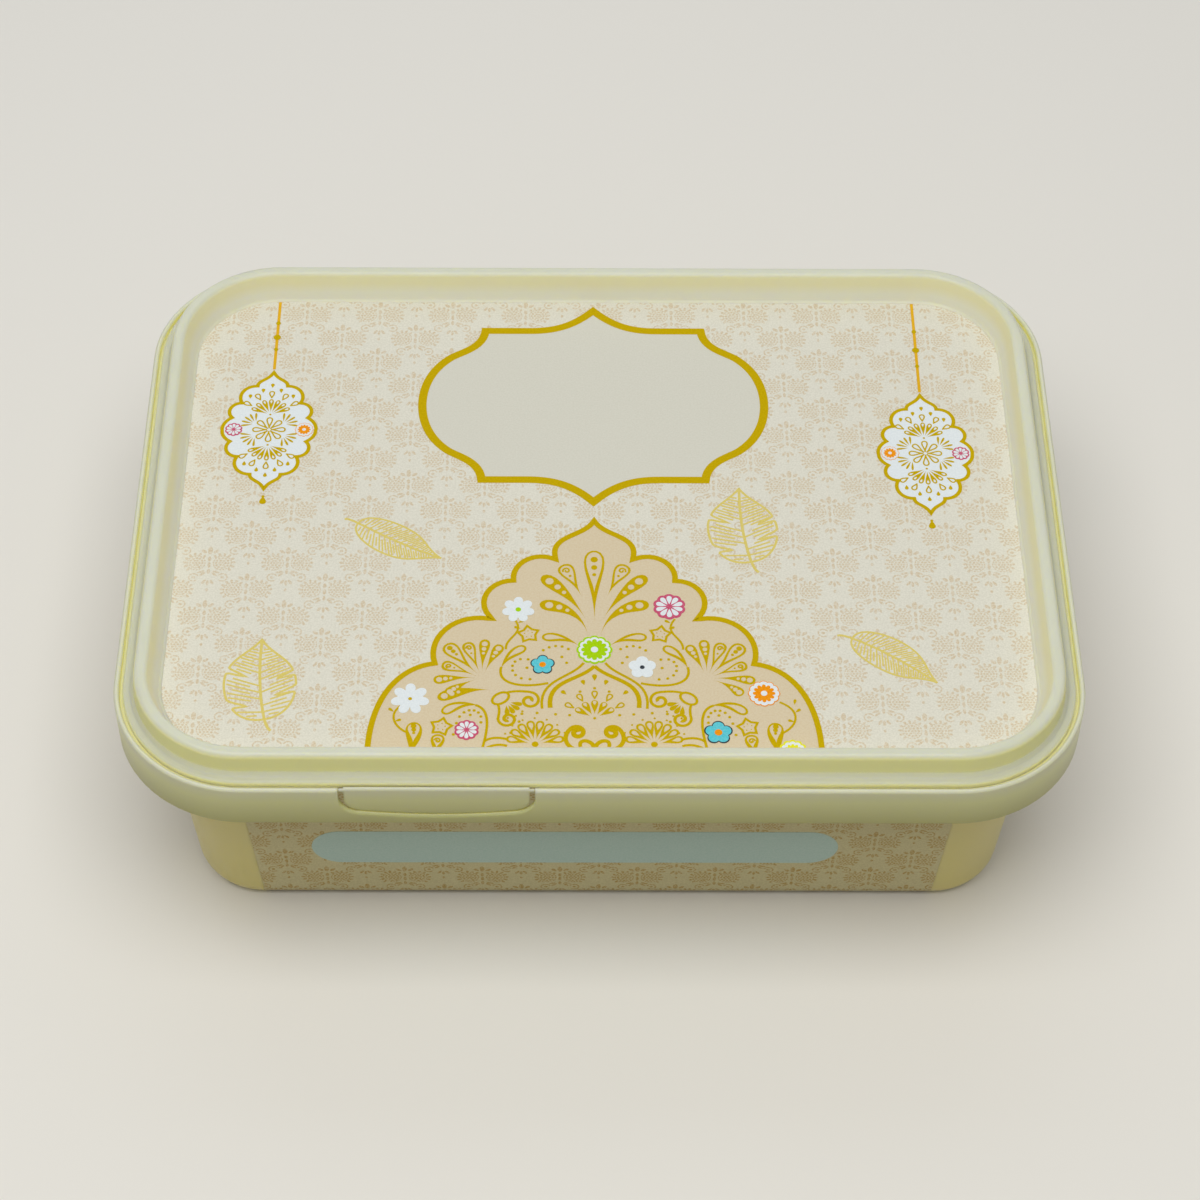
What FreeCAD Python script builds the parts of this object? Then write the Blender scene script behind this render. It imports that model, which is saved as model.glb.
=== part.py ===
# A rectangular sweet tub moulded in ivory polypropylene, with a press-on lid.
# The tub's rim is a shroud that hides the lid's edge, and a tab in the front of the shroud tears out
# so that a finger can reach that edge. Printed films are moulded into the lid's panel and the tub's walls.
# Frame: origin at the centre of the base, +X along the length, -Y to the front, +Z up. Millimetres.
import FreeCAD, Part
import math
import os

# The rim, which sets the outline that every wall follows
RIM_LENGTH = 180.0
RIM_WIDTH = 134.0
RIM_CORNER_RADIUS = 25.0
RIM_HEIGHT = 51.0
RIM_BEVEL = 0.35

# The tub's walls and base
WALL = 0.9
WALL_DRAFT_DEG = 4.75
WALL_FOOT_INSET = 11.7
FOOT_RADIUS = 4.0
FOOT_RING_WIDTH = 2.4
BASE_WALL = 1.0
BASE_RECESS = 0.6
FLOOR_BEVEL = 2.4

# The shroud round the lid's edge, and the ledge and lip inside it
SHROUD_WALL = 1.0
SHROUD_DROP = 10.0
SHROUD_FOOT_WALL = 0.8
LEDGE_DEPTH = 1.1
LEDGE_WALL = 1.0
LIP_WALL = 0.8
LIP_RISE = 3.1
SHOULDER_GAP = 0.6

# The ribs that stiffen the shroud from below
RIB_WALL = 0.8
RIB_HEIGHT = 4.3
RIB_PITCH = 26.0

# The lid: its edge, stacking bead and label panel
LID_WALL = 0.9
LID_EDGE_GAP = 0.65
LID_EDGE_HEIGHT = 1.3
SHELF_WIDTH = 2.1
BEAD_RISE = 4.8
BEAD_ROUND = 1.0
BEAD_FOOT_BEVEL = 0.7
BEAD_OUTER_DRAFT_DEG = 5.0
BEAD_INNER_DRAFT_DEG = 17.0
PANEL_DROP = 6.0
PANEL_BEVEL = 0.35
PLUG_BEVEL = 1.2
LIP_FIT_GAP = 0.15
LIP_BACK_GAP = 0.7

# The tear-off tab in the shroud's front
TAB_WIDTH = 33.6
TAB_WALL = 0.8
TAB_CENTRE_X = -29.6
TAB_FOOT_BAND = 2.6
TAB_BOW = 1.5
TAB_CORNER = 3.0
TAB_RECESS = 0.45
TAB_SLIT = 1.0
TAB_SCORE = 0.25
WINDOW_BEVEL = 0.35
BRIDGE_HEIGHT = 0.6
BRIDGE_DEPTH = 0.45
BRIDGE_TOP_GAP = 0.3
BRIDGE_END_GAP = 0.06
FINGER_NOTCH_REACH = 1.2

# The moulded-in printed films, and the gate mark that the moulding leaves under the base
LABEL_FILM = 0.15
LID_LABEL_MARGIN = 0.1
TUB_LABEL_TUCK = 1.6
TUB_LABEL_WRAP = 2.2
TUB_LABEL_SLANT = 2.6
GATE_HOLE_DIAMETER = 9.0
GATE_DIMPLE_DIAMETER = 4.0
GATE_DIMPLE_DEPTH = 0.35

# How far every cutting shape runs past the face that it cuts
OVERRUN = 1.0
# The most of a wall that the fillet or bevel on each of its two edges may take up
EDGE_SHARE = 0.45

UP = FreeCAD.Vector(0, 0, 1)
ORIGIN = FreeCAD.Vector(0, 0, 0)
QUARTER_TURN_DEG = 90.0

# Heights that follow from the sizes above
LEDGE_Z = RIM_HEIGHT - LEDGE_DEPTH
LEDGE_UNDER_Z = LEDGE_Z - LEDGE_WALL
SHROUD_FOOT_Z = RIM_HEIGHT - SHROUD_DROP
TAB_FOOT_Z = SHROUD_FOOT_Z + TAB_FOOT_BAND
LIP_Z = LEDGE_Z + LIP_RISE
FLOOR_Z = BASE_RECESS + BASE_WALL
SHELF_Z = LEDGE_Z + LID_EDGE_HEIGHT
BEAD_Z = SHELF_Z + BEAD_RISE
PANEL_Z = BEAD_Z - PANEL_DROP
PANEL_UNDER_Z = PANEL_Z - LID_WALL
SHOULDER_Z = PANEL_UNDER_Z - SHOULDER_GAP
SHOULDER_UNDER_Z = SHOULDER_Z - WALL
FRONT_Y = -RIM_WIDTH / 2

# The straight runs between the rim's corner centres
RUN_X = RIM_LENGTH - 2 * RIM_CORNER_RADIUS
RUN_Y = RIM_WIDTH - 2 * RIM_CORNER_RADIUS


def lean(draft_deg):
    """Sideways run for each unit of height on a wall with this draft."""
    return math.tan(math.radians(draft_deg))


def across(thickness, draft_deg):
    """Horizontal width of a wall of this thickness that stands at this draft."""
    return thickness / math.cos(math.radians(draft_deg))


def wall_outside(height):
    """Inset of the tub wall's outer face from the rim's face, at a height."""
    return WALL_FOOT_INSET - height * lean(WALL_DRAFT_DEG)


def wall_inside(height):
    """Inset of the tub wall's inner face from the rim's face, at a height."""
    return wall_outside(height) + across(WALL, WALL_DRAFT_DEG)


# Insets from the rim's face, from the lid's edge inwards: the lip stands in the bead's hollow
LID_EDGE_INSET = SHROUD_WALL + LID_EDGE_GAP
BEAD_FOOT_INSET = LID_EDGE_INSET + SHELF_WIDTH


def bead_outer_face(height):
    """Inset of the bead's outer slope, which rises from the lid's shelf."""
    return BEAD_FOOT_INSET + (height - SHELF_Z) * lean(BEAD_OUTER_DRAFT_DEG)


def bead_leg_inside(height):
    """Inset of the hollow's outer side: the inner face of the bead's outer leg."""
    return bead_outer_face(height) + across(LID_WALL, BEAD_OUTER_DRAFT_DEG)


LIP_OUTER_INSET = bead_leg_inside(LIP_Z) + LIP_FIT_GAP
LIP_INNER_INSET = LIP_OUTER_INSET + LIP_WALL
HOLLOW_INNER_AT_LIP = LIP_INNER_INSET + LIP_BACK_GAP
BEAD_INNER_AT_LIP = HOLLOW_INNER_AT_LIP + across(LID_WALL, BEAD_INNER_DRAFT_DEG)


def bead_inner_face(height):
    """Inset of the bead's inner slope, which runs from its top down to the label panel."""
    return BEAD_INNER_AT_LIP + (LIP_Z - height) * lean(BEAD_INNER_DRAFT_DEG)


def hollow_inner_side(height):
    """Inset of the hollow's inner side: the hidden face behind the bead's inner slope."""
    return bead_inner_face(height) - across(LID_WALL, BEAD_INNER_DRAFT_DEG)


def within(size, wall):
    """A fillet or bevel, limited by the wall whose edge it breaks."""
    return min(size, EDGE_SHARE * wall)


def sharp(inset, height):
    """A section's corner that is left sharp."""
    return inset, height, 0, 0


def rounded(inset, height, radius):
    """A section's corner with a fillet."""
    return inset, height, radius, 0


def bevelled(inset, height, run):
    """A section's corner cut off by a flat, which starts this far from it on either side."""
    return inset, height, 0, run


def section_face(corners):
    """Closed face in the XZ plane from a section's corners; X is the distance from a rim corner's axis."""
    points = [FreeCAD.Vector(RIM_CORNER_RADIUS - corner[0], 0, corner[1]) for corner in corners]
    starts, ends, breaks = [], [], []
    for k, (_, _, radius, bevel) in enumerate(corners):
        to_last = (points[k - 1] - points[k]).normalize()
        to_next = (points[(k + 1) % len(points)] - points[k]).normalize()
        half_angle = to_last.getAngle(to_next) / 2
        run = bevel + radius / math.tan(half_angle)
        starts.append(points[k] + to_last * run)
        ends.append(points[k] + to_next * run)
        middle = points[k] + (to_last + to_next).normalize() * (radius / math.sin(half_angle) - radius)
        if radius > 0:
            breaks.append([Part.Arc(starts[k], middle, ends[k]).toShape()])
        elif bevel > 0:
            breaks.append([Part.LineSegment(starts[k], ends[k]).toShape()])
        else:
            breaks.append([])
    edges = []
    for k in range(len(points)):
        side = Part.LineSegment(ends[k], starts[(k + 1) % len(points)]).toShape()
        edges += breaks[k] + [side]
    return Part.Face(Part.Wire(edges))


def sweep_round_rim(corners, core_low, core_high):
    """Solid made by carrying a section round the rim's outline, closed by a core between the corner axes."""
    face = section_face(corners)
    quarter = face.revolve(ORIGIN, UP, QUARTER_TURN_DEG)
    core = Part.makeBox(RUN_X, RUN_Y, core_high - core_low, FreeCAD.Vector(-RUN_X / 2, -RUN_Y / 2, core_low))
    pieces = []
    for turn, (side_x, side_y) in enumerate(((1, 1), (-1, 1), (-1, -1), (1, -1))):
        run = RUN_X if turn % 2 == 0 else RUN_Y
        straight = face.extrude(FreeCAD.Vector(0, run, 0))
        straight.rotate(ORIGIN, UP, QUARTER_TURN_DEG * (turn + 1))
        corner = quarter.copy()
        corner.rotate(ORIGIN, UP, QUARTER_TURN_DEG * turn)
        for piece in (corner, straight):
            piece.translate(FreeCAD.Vector(side_x * RUN_X / 2, side_y * RUN_Y / 2, 0))
            pieces.append(piece)
    return core.multiFuse(pieces).removeSplitter().Solids[0]


def box_between(low, high):
    """Box from its lowest to its highest corner, each given as three lengths."""
    size = [top - bottom for bottom, top in zip(low, high)]
    return Part.makeBox(*size, FreeCAD.Vector(*low))


def foot_corners(depth):
    """The tub's outer outline from its base panel to its wall, at a depth under the surface."""
    ring_inset = WALL_FOOT_INSET + FOOT_RADIUS + FOOT_RING_WIDTH - depth * (math.sqrt(2) - 1)
    wall_shift = across(depth, WALL_DRAFT_DEG)
    return [
        sharp(RIM_CORNER_RADIUS, BASE_RECESS + depth),
        sharp(ring_inset + BASE_RECESS, BASE_RECESS + depth),
        sharp(ring_inset, depth),
        rounded(wall_outside(depth) + wall_shift, depth, FOOT_RADIUS - depth),
    ]


def tub_corners():
    """The tub's whole section, from the base's outside round the shroud and back along the inside."""
    rim_bevel = within(RIM_BEVEL, SHROUD_WALL)
    foot_bevel = within(RIM_BEVEL, SHROUD_FOOT_WALL)
    return foot_corners(0) + [
        sharp(wall_outside(SHOULDER_UNDER_Z), SHOULDER_UNDER_Z),
        sharp(LIP_OUTER_INSET, SHOULDER_UNDER_Z),
        sharp(LIP_OUTER_INSET, LEDGE_UNDER_Z),
        sharp(SHROUD_WALL, LEDGE_UNDER_Z),
        sharp(SHROUD_FOOT_WALL, SHROUD_FOOT_Z),
        bevelled(0, SHROUD_FOOT_Z, foot_bevel),
        bevelled(0, RIM_HEIGHT, rim_bevel),
        bevelled(SHROUD_WALL, RIM_HEIGHT, rim_bevel),
        sharp(SHROUD_WALL, LEDGE_Z),
        sharp(LIP_OUTER_INSET, LEDGE_Z),
        sharp(LIP_OUTER_INSET, LIP_Z),
        sharp(LIP_INNER_INSET, LIP_Z),
        sharp(LIP_INNER_INSET, SHOULDER_Z),
        sharp(wall_inside(SHOULDER_Z), SHOULDER_Z),
        bevelled(wall_inside(FLOOR_Z), FLOOR_Z, FLOOR_BEVEL),
        sharp(RIM_CORNER_RADIUS, FLOOR_Z),
    ]


def lid_corners():
    """The lid's whole section, from the panel's underside round the edge and bead to the panel's top."""
    hollow_z = BEAD_Z - LID_WALL
    bead_round = within(BEAD_ROUND, bead_inner_face(BEAD_Z) - bead_outer_face(BEAD_Z))
    return [
        sharp(RIM_CORNER_RADIUS, PANEL_UNDER_Z),
        bevelled(hollow_inner_side(PANEL_UNDER_Z), PANEL_UNDER_Z, PLUG_BEVEL),
        sharp(hollow_inner_side(hollow_z), hollow_z),
        sharp(bead_leg_inside(hollow_z), hollow_z),
        sharp(bead_leg_inside(LEDGE_Z), LEDGE_Z),
        sharp(LID_EDGE_INSET, LEDGE_Z),
        bevelled(LID_EDGE_INSET, SHELF_Z, within(RIM_BEVEL, LID_EDGE_HEIGHT)),
        bevelled(BEAD_FOOT_INSET, SHELF_Z, BEAD_FOOT_BEVEL),
        rounded(bead_outer_face(BEAD_Z), BEAD_Z, bead_round),
        rounded(bead_inner_face(BEAD_Z), BEAD_Z, bead_round),
        bevelled(bead_inner_face(PANEL_Z), PANEL_Z, PANEL_BEVEL),
        sharp(RIM_CORNER_RADIUS, PANEL_Z),
    ]


def tab_outline(side_gap, foot_gap, depth, top_z):
    """The tab's front outline, grown by gaps at its sides and foot, at a depth behind the shroud's front.

    The foot is one shallow arc, and each lower corner is an arc that touches the side and the foot."""
    half = TAB_WIDTH / 2 + side_gap
    foot_z = TAB_FOOT_Z - foot_gap
    corner = TAB_CORNER + side_gap
    foot_radius = (half ** 2 + TAB_BOW ** 2) / (2 * TAB_BOW)
    foot_centre = FreeCAD.Vector(0, 0, foot_z + foot_radius)
    corner_rise = math.sqrt((foot_radius - corner) ** 2 - (half - corner) ** 2)
    corner_centre = foot_centre + FreeCAD.Vector(half - corner, 0, -corner_rise)
    outwards = (corner_centre - foot_centre).normalize()
    touch_foot = foot_centre + outwards * foot_radius
    touch_side = corner_centre + FreeCAD.Vector(corner, 0, 0)
    corner_middle = corner_centre + (outwards + FreeCAD.Vector(1, 0, 0)).normalize() * corner
    top = FreeCAD.Vector(half, 0, top_z)
    right = [top, touch_side, corner_middle, touch_foot]
    left = [FreeCAD.Vector(-point.x, 0, point.z) for point in right]
    outline = Part.Wire([
        Part.LineSegment(right[0], right[1]).toShape(),
        Part.Arc(right[1], right[2], right[3]).toShape(),
        Part.Arc(right[3], FreeCAD.Vector(0, 0, foot_z), left[3]).toShape(),
        Part.Arc(left[3], left[2], left[1]).toShape(),
        Part.LineSegment(left[1], left[0]).toShape(),
        Part.LineSegment(left[0], right[0]).toShape(),
    ])
    outline.translate(FreeCAD.Vector(TAB_CENTRE_X, FRONT_Y + depth, 0))
    return outline


def make_tab():
    """The tear-off tab: a plate in the shroud's window, with a thin bridge to the shroud at each top end."""
    face_y = FRONT_Y + TAB_RECESS
    plate = Part.Face(tab_outline(0, 0, TAB_RECESS, RIM_HEIGHT)).extrude(FreeCAD.Vector(0, TAB_WALL, 0))
    top_edges = [edge for edge in plate.Edges
                 if edge.BoundBox.ZMin > RIM_HEIGHT - RIM_BEVEL and edge.Length > TAB_WALL + RIM_BEVEL]
    plate = plate.makeChamfer(within(RIM_BEVEL, TAB_WALL), top_edges)
    bridge_top = RIM_HEIGHT - BRIDGE_TOP_GAP
    bridge_end = TAB_WIDTH / 2 + TAB_SLIT - BRIDGE_END_GAP
    bridge_root = TAB_WIDTH / 2 - BRIDGE_DEPTH
    bridges = []
    for side in (-1, 1):
        ends = sorted(TAB_CENTRE_X + side * reach for reach in (bridge_root, bridge_end))
        low = (ends[0], face_y, bridge_top - BRIDGE_HEIGHT)
        high = (ends[1], face_y + BRIDGE_DEPTH, bridge_top)
        bridges.append(box_between(low, high))
    return plate.multiFuse(bridges).removeSplitter().Solids[0]


def make_window_cutters():
    """What the tab's window takes out of the shroud: the window itself, and a bevel along its foot."""
    top_z = RIM_HEIGHT + OVERRUN
    front = tab_outline(TAB_SLIT, TAB_SCORE, -OVERRUN, top_z)
    window = Part.Face(front).extrude(FreeCAD.Vector(0, SHROUD_WALL + OVERRUN, 0))
    bevel_front = tab_outline(TAB_SLIT, TAB_SCORE + WINDOW_BEVEL + OVERRUN, -OVERRUN, top_z)
    bevel_back = tab_outline(TAB_SLIT, TAB_SCORE, WINDOW_BEVEL, top_z)
    bevel = Part.makeLoft([bevel_front, bevel_back], True, True)
    return window, bevel


def make_ribs():
    """Upright ribs under the ledge, between the shroud and the wall, clear of the tab's window."""
    foot_z = LEDGE_UNDER_Z - RIB_HEIGHT
    bite = SHROUD_FOOT_WALL / 2
    inner = wall_outside(SHOULDER_UNDER_Z) + across(WALL, WALL_DRAFT_DEG) / 2
    window_half = TAB_WIDTH / 2 + TAB_SLIT + RIB_WALL
    ribs = []
    for axis, run, half_depth in (("x", RUN_X, RIM_WIDTH / 2), ("y", RUN_Y, RIM_LENGTH / 2)):
        each_side = int(run / 2 // RIB_PITCH)
        for k in range(-each_side, each_side + 1):
            along = k * RIB_PITCH
            for side in (-1, 1):
                if axis == "x" and side < 0 and abs(along - TAB_CENTRE_X) < window_half:
                    continue
                depth = sorted(side * (half_depth - inset) for inset in (bite, inner))
                width = (along - RIB_WALL / 2, along + RIB_WALL / 2)
                spans = (width, depth) if axis == "x" else (depth, width)
                low = (spans[0][0], spans[1][0], foot_z)
                high = (spans[0][1], spans[1][1], SHOULDER_UNDER_Z + WALL / 2)
                ribs.append(box_between(low, high))
    return ribs


def make_tub_label():
    """The printed film on the tub: a cross of four wall panels and a base panel, let into the surface."""
    top_z = SHROUD_FOOT_Z + TUB_LABEL_TUCK
    skin = []
    for depth in (0, LABEL_FILM):
        wall_top = sharp(wall_outside(top_z) + across(depth, WALL_DRAFT_DEG), top_z)
        corners = foot_corners(depth) + [wall_top, sharp(RIM_CORNER_RADIUS, top_z)]
        skin.append(sweep_round_rim(corners, BASE_RECESS + depth, top_z))
    film = skin[0].cut(skin[1])
    strips = []
    for run, turn in ((RUN_X, 0), (RUN_Y, 1)):
        top_half = run / 2 + TUB_LABEL_WRAP
        foot_half = top_half - TUB_LABEL_SLANT
        reach = RIM_LENGTH / 2
        corners = [(-top_half, top_z), (top_half, top_z), (foot_half, 0), (-foot_half, 0)]
        points = [FreeCAD.Vector(x, -reach, z) for x, z in corners]
        strip = Part.Face(Part.makePolygon(points + points[:1])).extrude(FreeCAD.Vector(0, 2 * reach, 0))
        strip.rotate(ORIGIN, UP, QUARTER_TURN_DEG * turn)
        strips.append(strip)
    gate_hole = Part.makeCylinder(GATE_HOLE_DIAMETER / 2, FLOOR_Z + OVERRUN, FreeCAD.Vector(0, 0, -OVERRUN))
    return film.common(strips[0].fuse(strips[1])).cut(gate_hole).removeSplitter().Solids[0]


def make_tub(tub_label):
    """The tub: swept section and ribs, less the tab's window, the finger notch, the film's bed and the gate dimple."""
    body = sweep_round_rim(tub_corners(), BASE_RECESS, FLOOR_Z).multiFuse(make_ribs()).removeSplitter()
    inside_y = FRONT_Y + SHROUD_WALL
    half = TAB_WIDTH / 2 + TAB_SLIT
    notch_y = FRONT_Y + LID_EDGE_INSET + FINGER_NOTCH_REACH
    notch = box_between((TAB_CENTRE_X - half, inside_y, LEDGE_UNDER_Z - OVERRUN),
                        (TAB_CENTRE_X + half, notch_y, LEDGE_Z + OVERRUN))
    dimple = Part.makeCylinder(GATE_DIMPLE_DIAMETER / 2, GATE_DIMPLE_DEPTH + OVERRUN,
                               FreeCAD.Vector(0, 0, BASE_RECESS - OVERRUN))
    return body.cut([*make_window_cutters(), notch, dimple, tub_label]).removeSplitter().Solids[0]


def make_lid_label():
    """The printed film on the lid: a rounded plate, flush with the panel."""
    inset = bead_inner_face(PANEL_Z) + PANEL_BEVEL + LID_LABEL_MARGIN
    low = PANEL_Z - LABEL_FILM
    corners = [
        sharp(inset, low),
        sharp(inset, PANEL_Z),
        sharp(RIM_CORNER_RADIUS, PANEL_Z),
        sharp(RIM_CORNER_RADIUS, low),
    ]
    return sweep_round_rim(corners, low, PANEL_Z)


def make_lid(lid_label):
    """The lid: swept section, less the film's bed."""
    body = sweep_round_rim(lid_corners(), PANEL_UNDER_Z, PANEL_Z)
    return body.cut(lid_label).removeSplitter().Solids[0]


def main():
    """Builds every piece, prints its size and writes one STEP file for each."""
    tub_label = make_tub_label()
    lid_label = make_lid_label()
    pieces = {
        "tub": make_tub(tub_label),
        "tub_label": tub_label,
        "lid": make_lid(lid_label),
        "lid_label": lid_label,
        "tear_tab": make_tab(),
    }
    os.makedirs("parts", exist_ok=True)
    for name, shape in pieces.items():
        shape.exportStep(f"parts/{name}.step")
        box = shape.BoundBox
        print(f"{name}: {len(shape.Solids)} solid, {len(shape.Faces)} faces, valid {shape.isValid()},"
              f" {shape.Volume:.1f} mm3, {box.XLength:.2f} x {box.YLength:.2f} x {box.ZLength:.2f} mm,"
              f" z {box.ZMin:.2f} to {box.ZMax:.2f}")


main()
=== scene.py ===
# %% [markdown]
# # A sweet tub with a press-on lid
# The tub, its tear tab, its lid and two printed films come as finished solids, in metres. This lesson
# gives them their plastic and their print, and sets up a camera and lamps. What is printed is made here,
# as thin shapes of ink that lie on the films.

# %% Load the solids
import math
import bpy
import numpy as np
from mathutils import Matrix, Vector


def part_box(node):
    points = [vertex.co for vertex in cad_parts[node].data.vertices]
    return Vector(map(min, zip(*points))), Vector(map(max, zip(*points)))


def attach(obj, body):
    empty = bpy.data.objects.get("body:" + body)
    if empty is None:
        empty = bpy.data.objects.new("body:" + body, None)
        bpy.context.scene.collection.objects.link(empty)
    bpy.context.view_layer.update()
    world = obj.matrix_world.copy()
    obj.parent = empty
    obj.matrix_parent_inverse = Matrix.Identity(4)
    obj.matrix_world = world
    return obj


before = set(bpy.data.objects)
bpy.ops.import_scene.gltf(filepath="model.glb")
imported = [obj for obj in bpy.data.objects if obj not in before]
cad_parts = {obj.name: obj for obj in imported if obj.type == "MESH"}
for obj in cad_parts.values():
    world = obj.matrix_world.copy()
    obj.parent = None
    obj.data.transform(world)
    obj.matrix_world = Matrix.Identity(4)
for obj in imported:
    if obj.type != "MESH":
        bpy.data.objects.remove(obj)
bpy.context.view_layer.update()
MM = 0.001
print("solids:", ", ".join(sorted(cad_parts)))

# %% [markdown]
# ## The camera
# The tub stands on a table and is seen from the front and well above, through a long lens that keeps its
# sides nearly parallel. A camera can be placed by eye and turned towards the object, but here its pitch,
# yaw and roll were worked out from the straight edges of the rim, so they are written as angles in
# radians. The camera's three axes follow: it looks along forward, its right is level but for the roll,
# and up is square to both.

# %% Camera
RIM_HEIGHT = 51.0 * MM
pitch, yaw, roll = 0.87973, 0.0126323, -0.0120220
aim = np.array([0.0000645, -0.0221667, RIM_HEIGHT])
aim_distance = 0.580423
focal_px, picture_px, sensor_width = 3063.49, 1200, 36.0

forward = np.array([math.sin(yaw) * math.cos(pitch), math.cos(yaw) * math.cos(pitch), -math.sin(pitch)])
level = np.array([math.cos(yaw), -math.sin(yaw), 0.0])
under = np.cross(forward, level)
right = math.cos(roll) * level + math.sin(roll) * under
up = math.sin(roll) * level - math.cos(roll) * under

placement = np.eye(4)
placement[:3, :3] = np.column_stack([right, up, -forward])
placement[:3, 3] = aim - aim_distance * forward
camera = bpy.data.objects.new("camera", bpy.data.cameras.new("camera"))
camera.data.sensor_width = sensor_width
camera.data.lens = focal_px / picture_px * sensor_width
camera.matrix_world = Matrix(placement.tolist())
bpy.context.scene.collection.objects.link(camera)
bpy.context.scene.camera = camera
print(f"camera at {np.round(placement[:3, 3] / MM, 1)} mm with a {camera.data.lens:.1f} mm lens")

# %% [markdown]
# ## Nodes and colours
# Every material below is a small tree of nodes. One function adds a node, sets it up and links it, so
# that a material reads as a list of steps. Sockets whose names repeat go by number: a colour Mix has its
# factor at 0, its two colours at 6 and 7 and its result at 2. A MapRange has its value at 0, the range
# that it comes from at 1 and 2, and the range that it goes to at 3 and 4. Colours are written as they
# look on a screen, and a second function turns them into the linear light that the renderer works in.

# %% Helpers for materials
def linear(colour):
    """Hex sRGB to linear RGBA: a low value is divided by 12.92, a high one goes through the 2.4 power."""
    screen = np.array([int(colour[k:k + 2], 16) for k in (1, 3, 5)]) / 255
    light = np.where(screen <= 0.04045, screen / 12.92, ((screen + 0.055) / 1.055) ** 2.4)
    return (*light.tolist(), 1.0)


def add(tree, kind, inputs=None, **settings):
    """Adds a node. The inputs map a socket's name or number to a value, or to the output that feeds it."""
    made = tree.nodes.new("ShaderNode" + kind)
    for name, value in settings.items():
        setattr(made, name, value)
    for socket, value in (inputs or {}).items():
        if isinstance(value, bpy.types.NodeSocket):
            tree.links.new(value, made.inputs[socket])
        else:
            made.inputs[socket].default_value = value
    return made


def new_material(name):
    """An empty material's tree, with its Principled shader already joined to the output."""
    material = bpy.data.materials.new(name)
    material.use_nodes = True
    return material, material.node_tree, material.node_tree.nodes["Principled BSDF"]


print("white is", linear("#FFFFFF"))

# %% [markdown]
# ## The floor
# A plain table top carries the tub. It looks pale to the camera. For rays that only carry light about it
# is a darker, warmer grey, so that it throws little light back onto the shaded front. It could be one
# grey for both, but then either the picture or the shade on the tub would be wrong.

# %% Floor
def seen_directly(tree):
    """A factor of 1 for rays from the camera, mirrors and glass, and 0 for rays that carry light about."""
    path = add(tree, "LightPath").outputs
    indirect = {0: path["Is Glossy Ray"], 1: path["Is Transmission Ray"]}
    mirror = add(tree, "Math", indirect, operation="MAXIMUM").outputs[0]
    return add(tree, "Math", {0: path["Is Camera Ray"], 1: mirror}, operation="MAXIMUM").outputs[0]


floor_half = 3.0
floor_corners = [(x * floor_half, y * floor_half, 0) for x, y in ((-1, -1), (1, -1), (1, 1), (-1, 1))]
floor_mesh = bpy.data.meshes.new("table_top")
floor_mesh.from_pydata(floor_corners, [], [(0, 1, 2, 3)])
floor = bpy.data.objects.new("table_top", floor_mesh)
bpy.context.scene.collection.objects.link(floor)
paint, tree, shader = new_material("matt_table_paint")
paint_tones = {0: seen_directly(tree), 6: linear("#B9B1A0"), 7: linear("#E9E7E2")}
tree.links.new(add(tree, "Mix", paint_tones, data_type="RGBA").outputs[2], shader.inputs["Base Color"])
shader.inputs["Roughness"].default_value = 0.8
floor_mesh.materials.append(paint)
print("table top:", 2 * floor_half, "m wide")

# %% [markdown]
# ## The sky and the lamps
# Two wide, soft lamps are enough for a small pale object. The large one hangs above and a little in
# front, and lights the lid evenly. The weak, cool one stands behind and draws a pale line along the far
# rims. An even sky fills the shade, and like the table it is brighter to the camera than as a source of
# light.

# %% Sky
sky_light, sky_seen = 0.28, 0.86
sky = bpy.data.worlds.new("studio")
bpy.context.scene.world = sky
sky.use_nodes = True
tree = sky.node_tree
glow = add(tree, "Mix", {0: seen_directly(tree), 2: sky_light, 3: sky_seen})
tree.links.new(glow.outputs[0], tree.nodes["Background"].inputs["Strength"])
tree.nodes["Background"].inputs["Color"].default_value = linear("#FBFAF7")
bpy.context.scene.view_settings.view_transform = "Standard"
print("sky strength:", sky_light)

# %% [markdown]
# A lamp shines along its own -Z axis, so it has to be turned. Its Z axis runs from the tub to the lamp,
# and the two other axes are square to it. A constraint that tracks the tub would do the same.

# %% Lamps
TUB_MIDDLE = np.array([0, 0, 0.03])


def softbox(name, place, width, height, watts, colour):
    """An area lamp that faces the tub: its own -Z axis is turned to the tub's middle."""
    lamp = bpy.data.lights.new(name, "AREA")
    lamp.shape, lamp.size, lamp.size_y, lamp.energy = "RECTANGLE", width, height, watts
    lamp.color = linear(colour)[:3]
    holder = bpy.data.objects.new(name, lamp)
    to_lamp = np.array(place) - TUB_MIDDLE
    to_lamp /= np.linalg.norm(to_lamp)
    across = np.cross([0, 1, 0], to_lamp)
    across /= np.linalg.norm(across)
    turn = np.eye(4)
    turn[:3, :3] = np.column_stack([across, np.cross(to_lamp, across), to_lamp])
    turn[:3, 3] = place
    holder.matrix_world = Matrix(turn.tolist())
    bpy.context.scene.collection.objects.link(holder)


softbox("top_softbox", (-0.06, -0.22, 0.95), 0.9, 0.7, 6.85, "#FFFDF8")
softbox("back_softbox", (-0.05, 0.70, 0.74), 1.1, 0.5, 1.3, "#EDF6FF")
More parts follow.
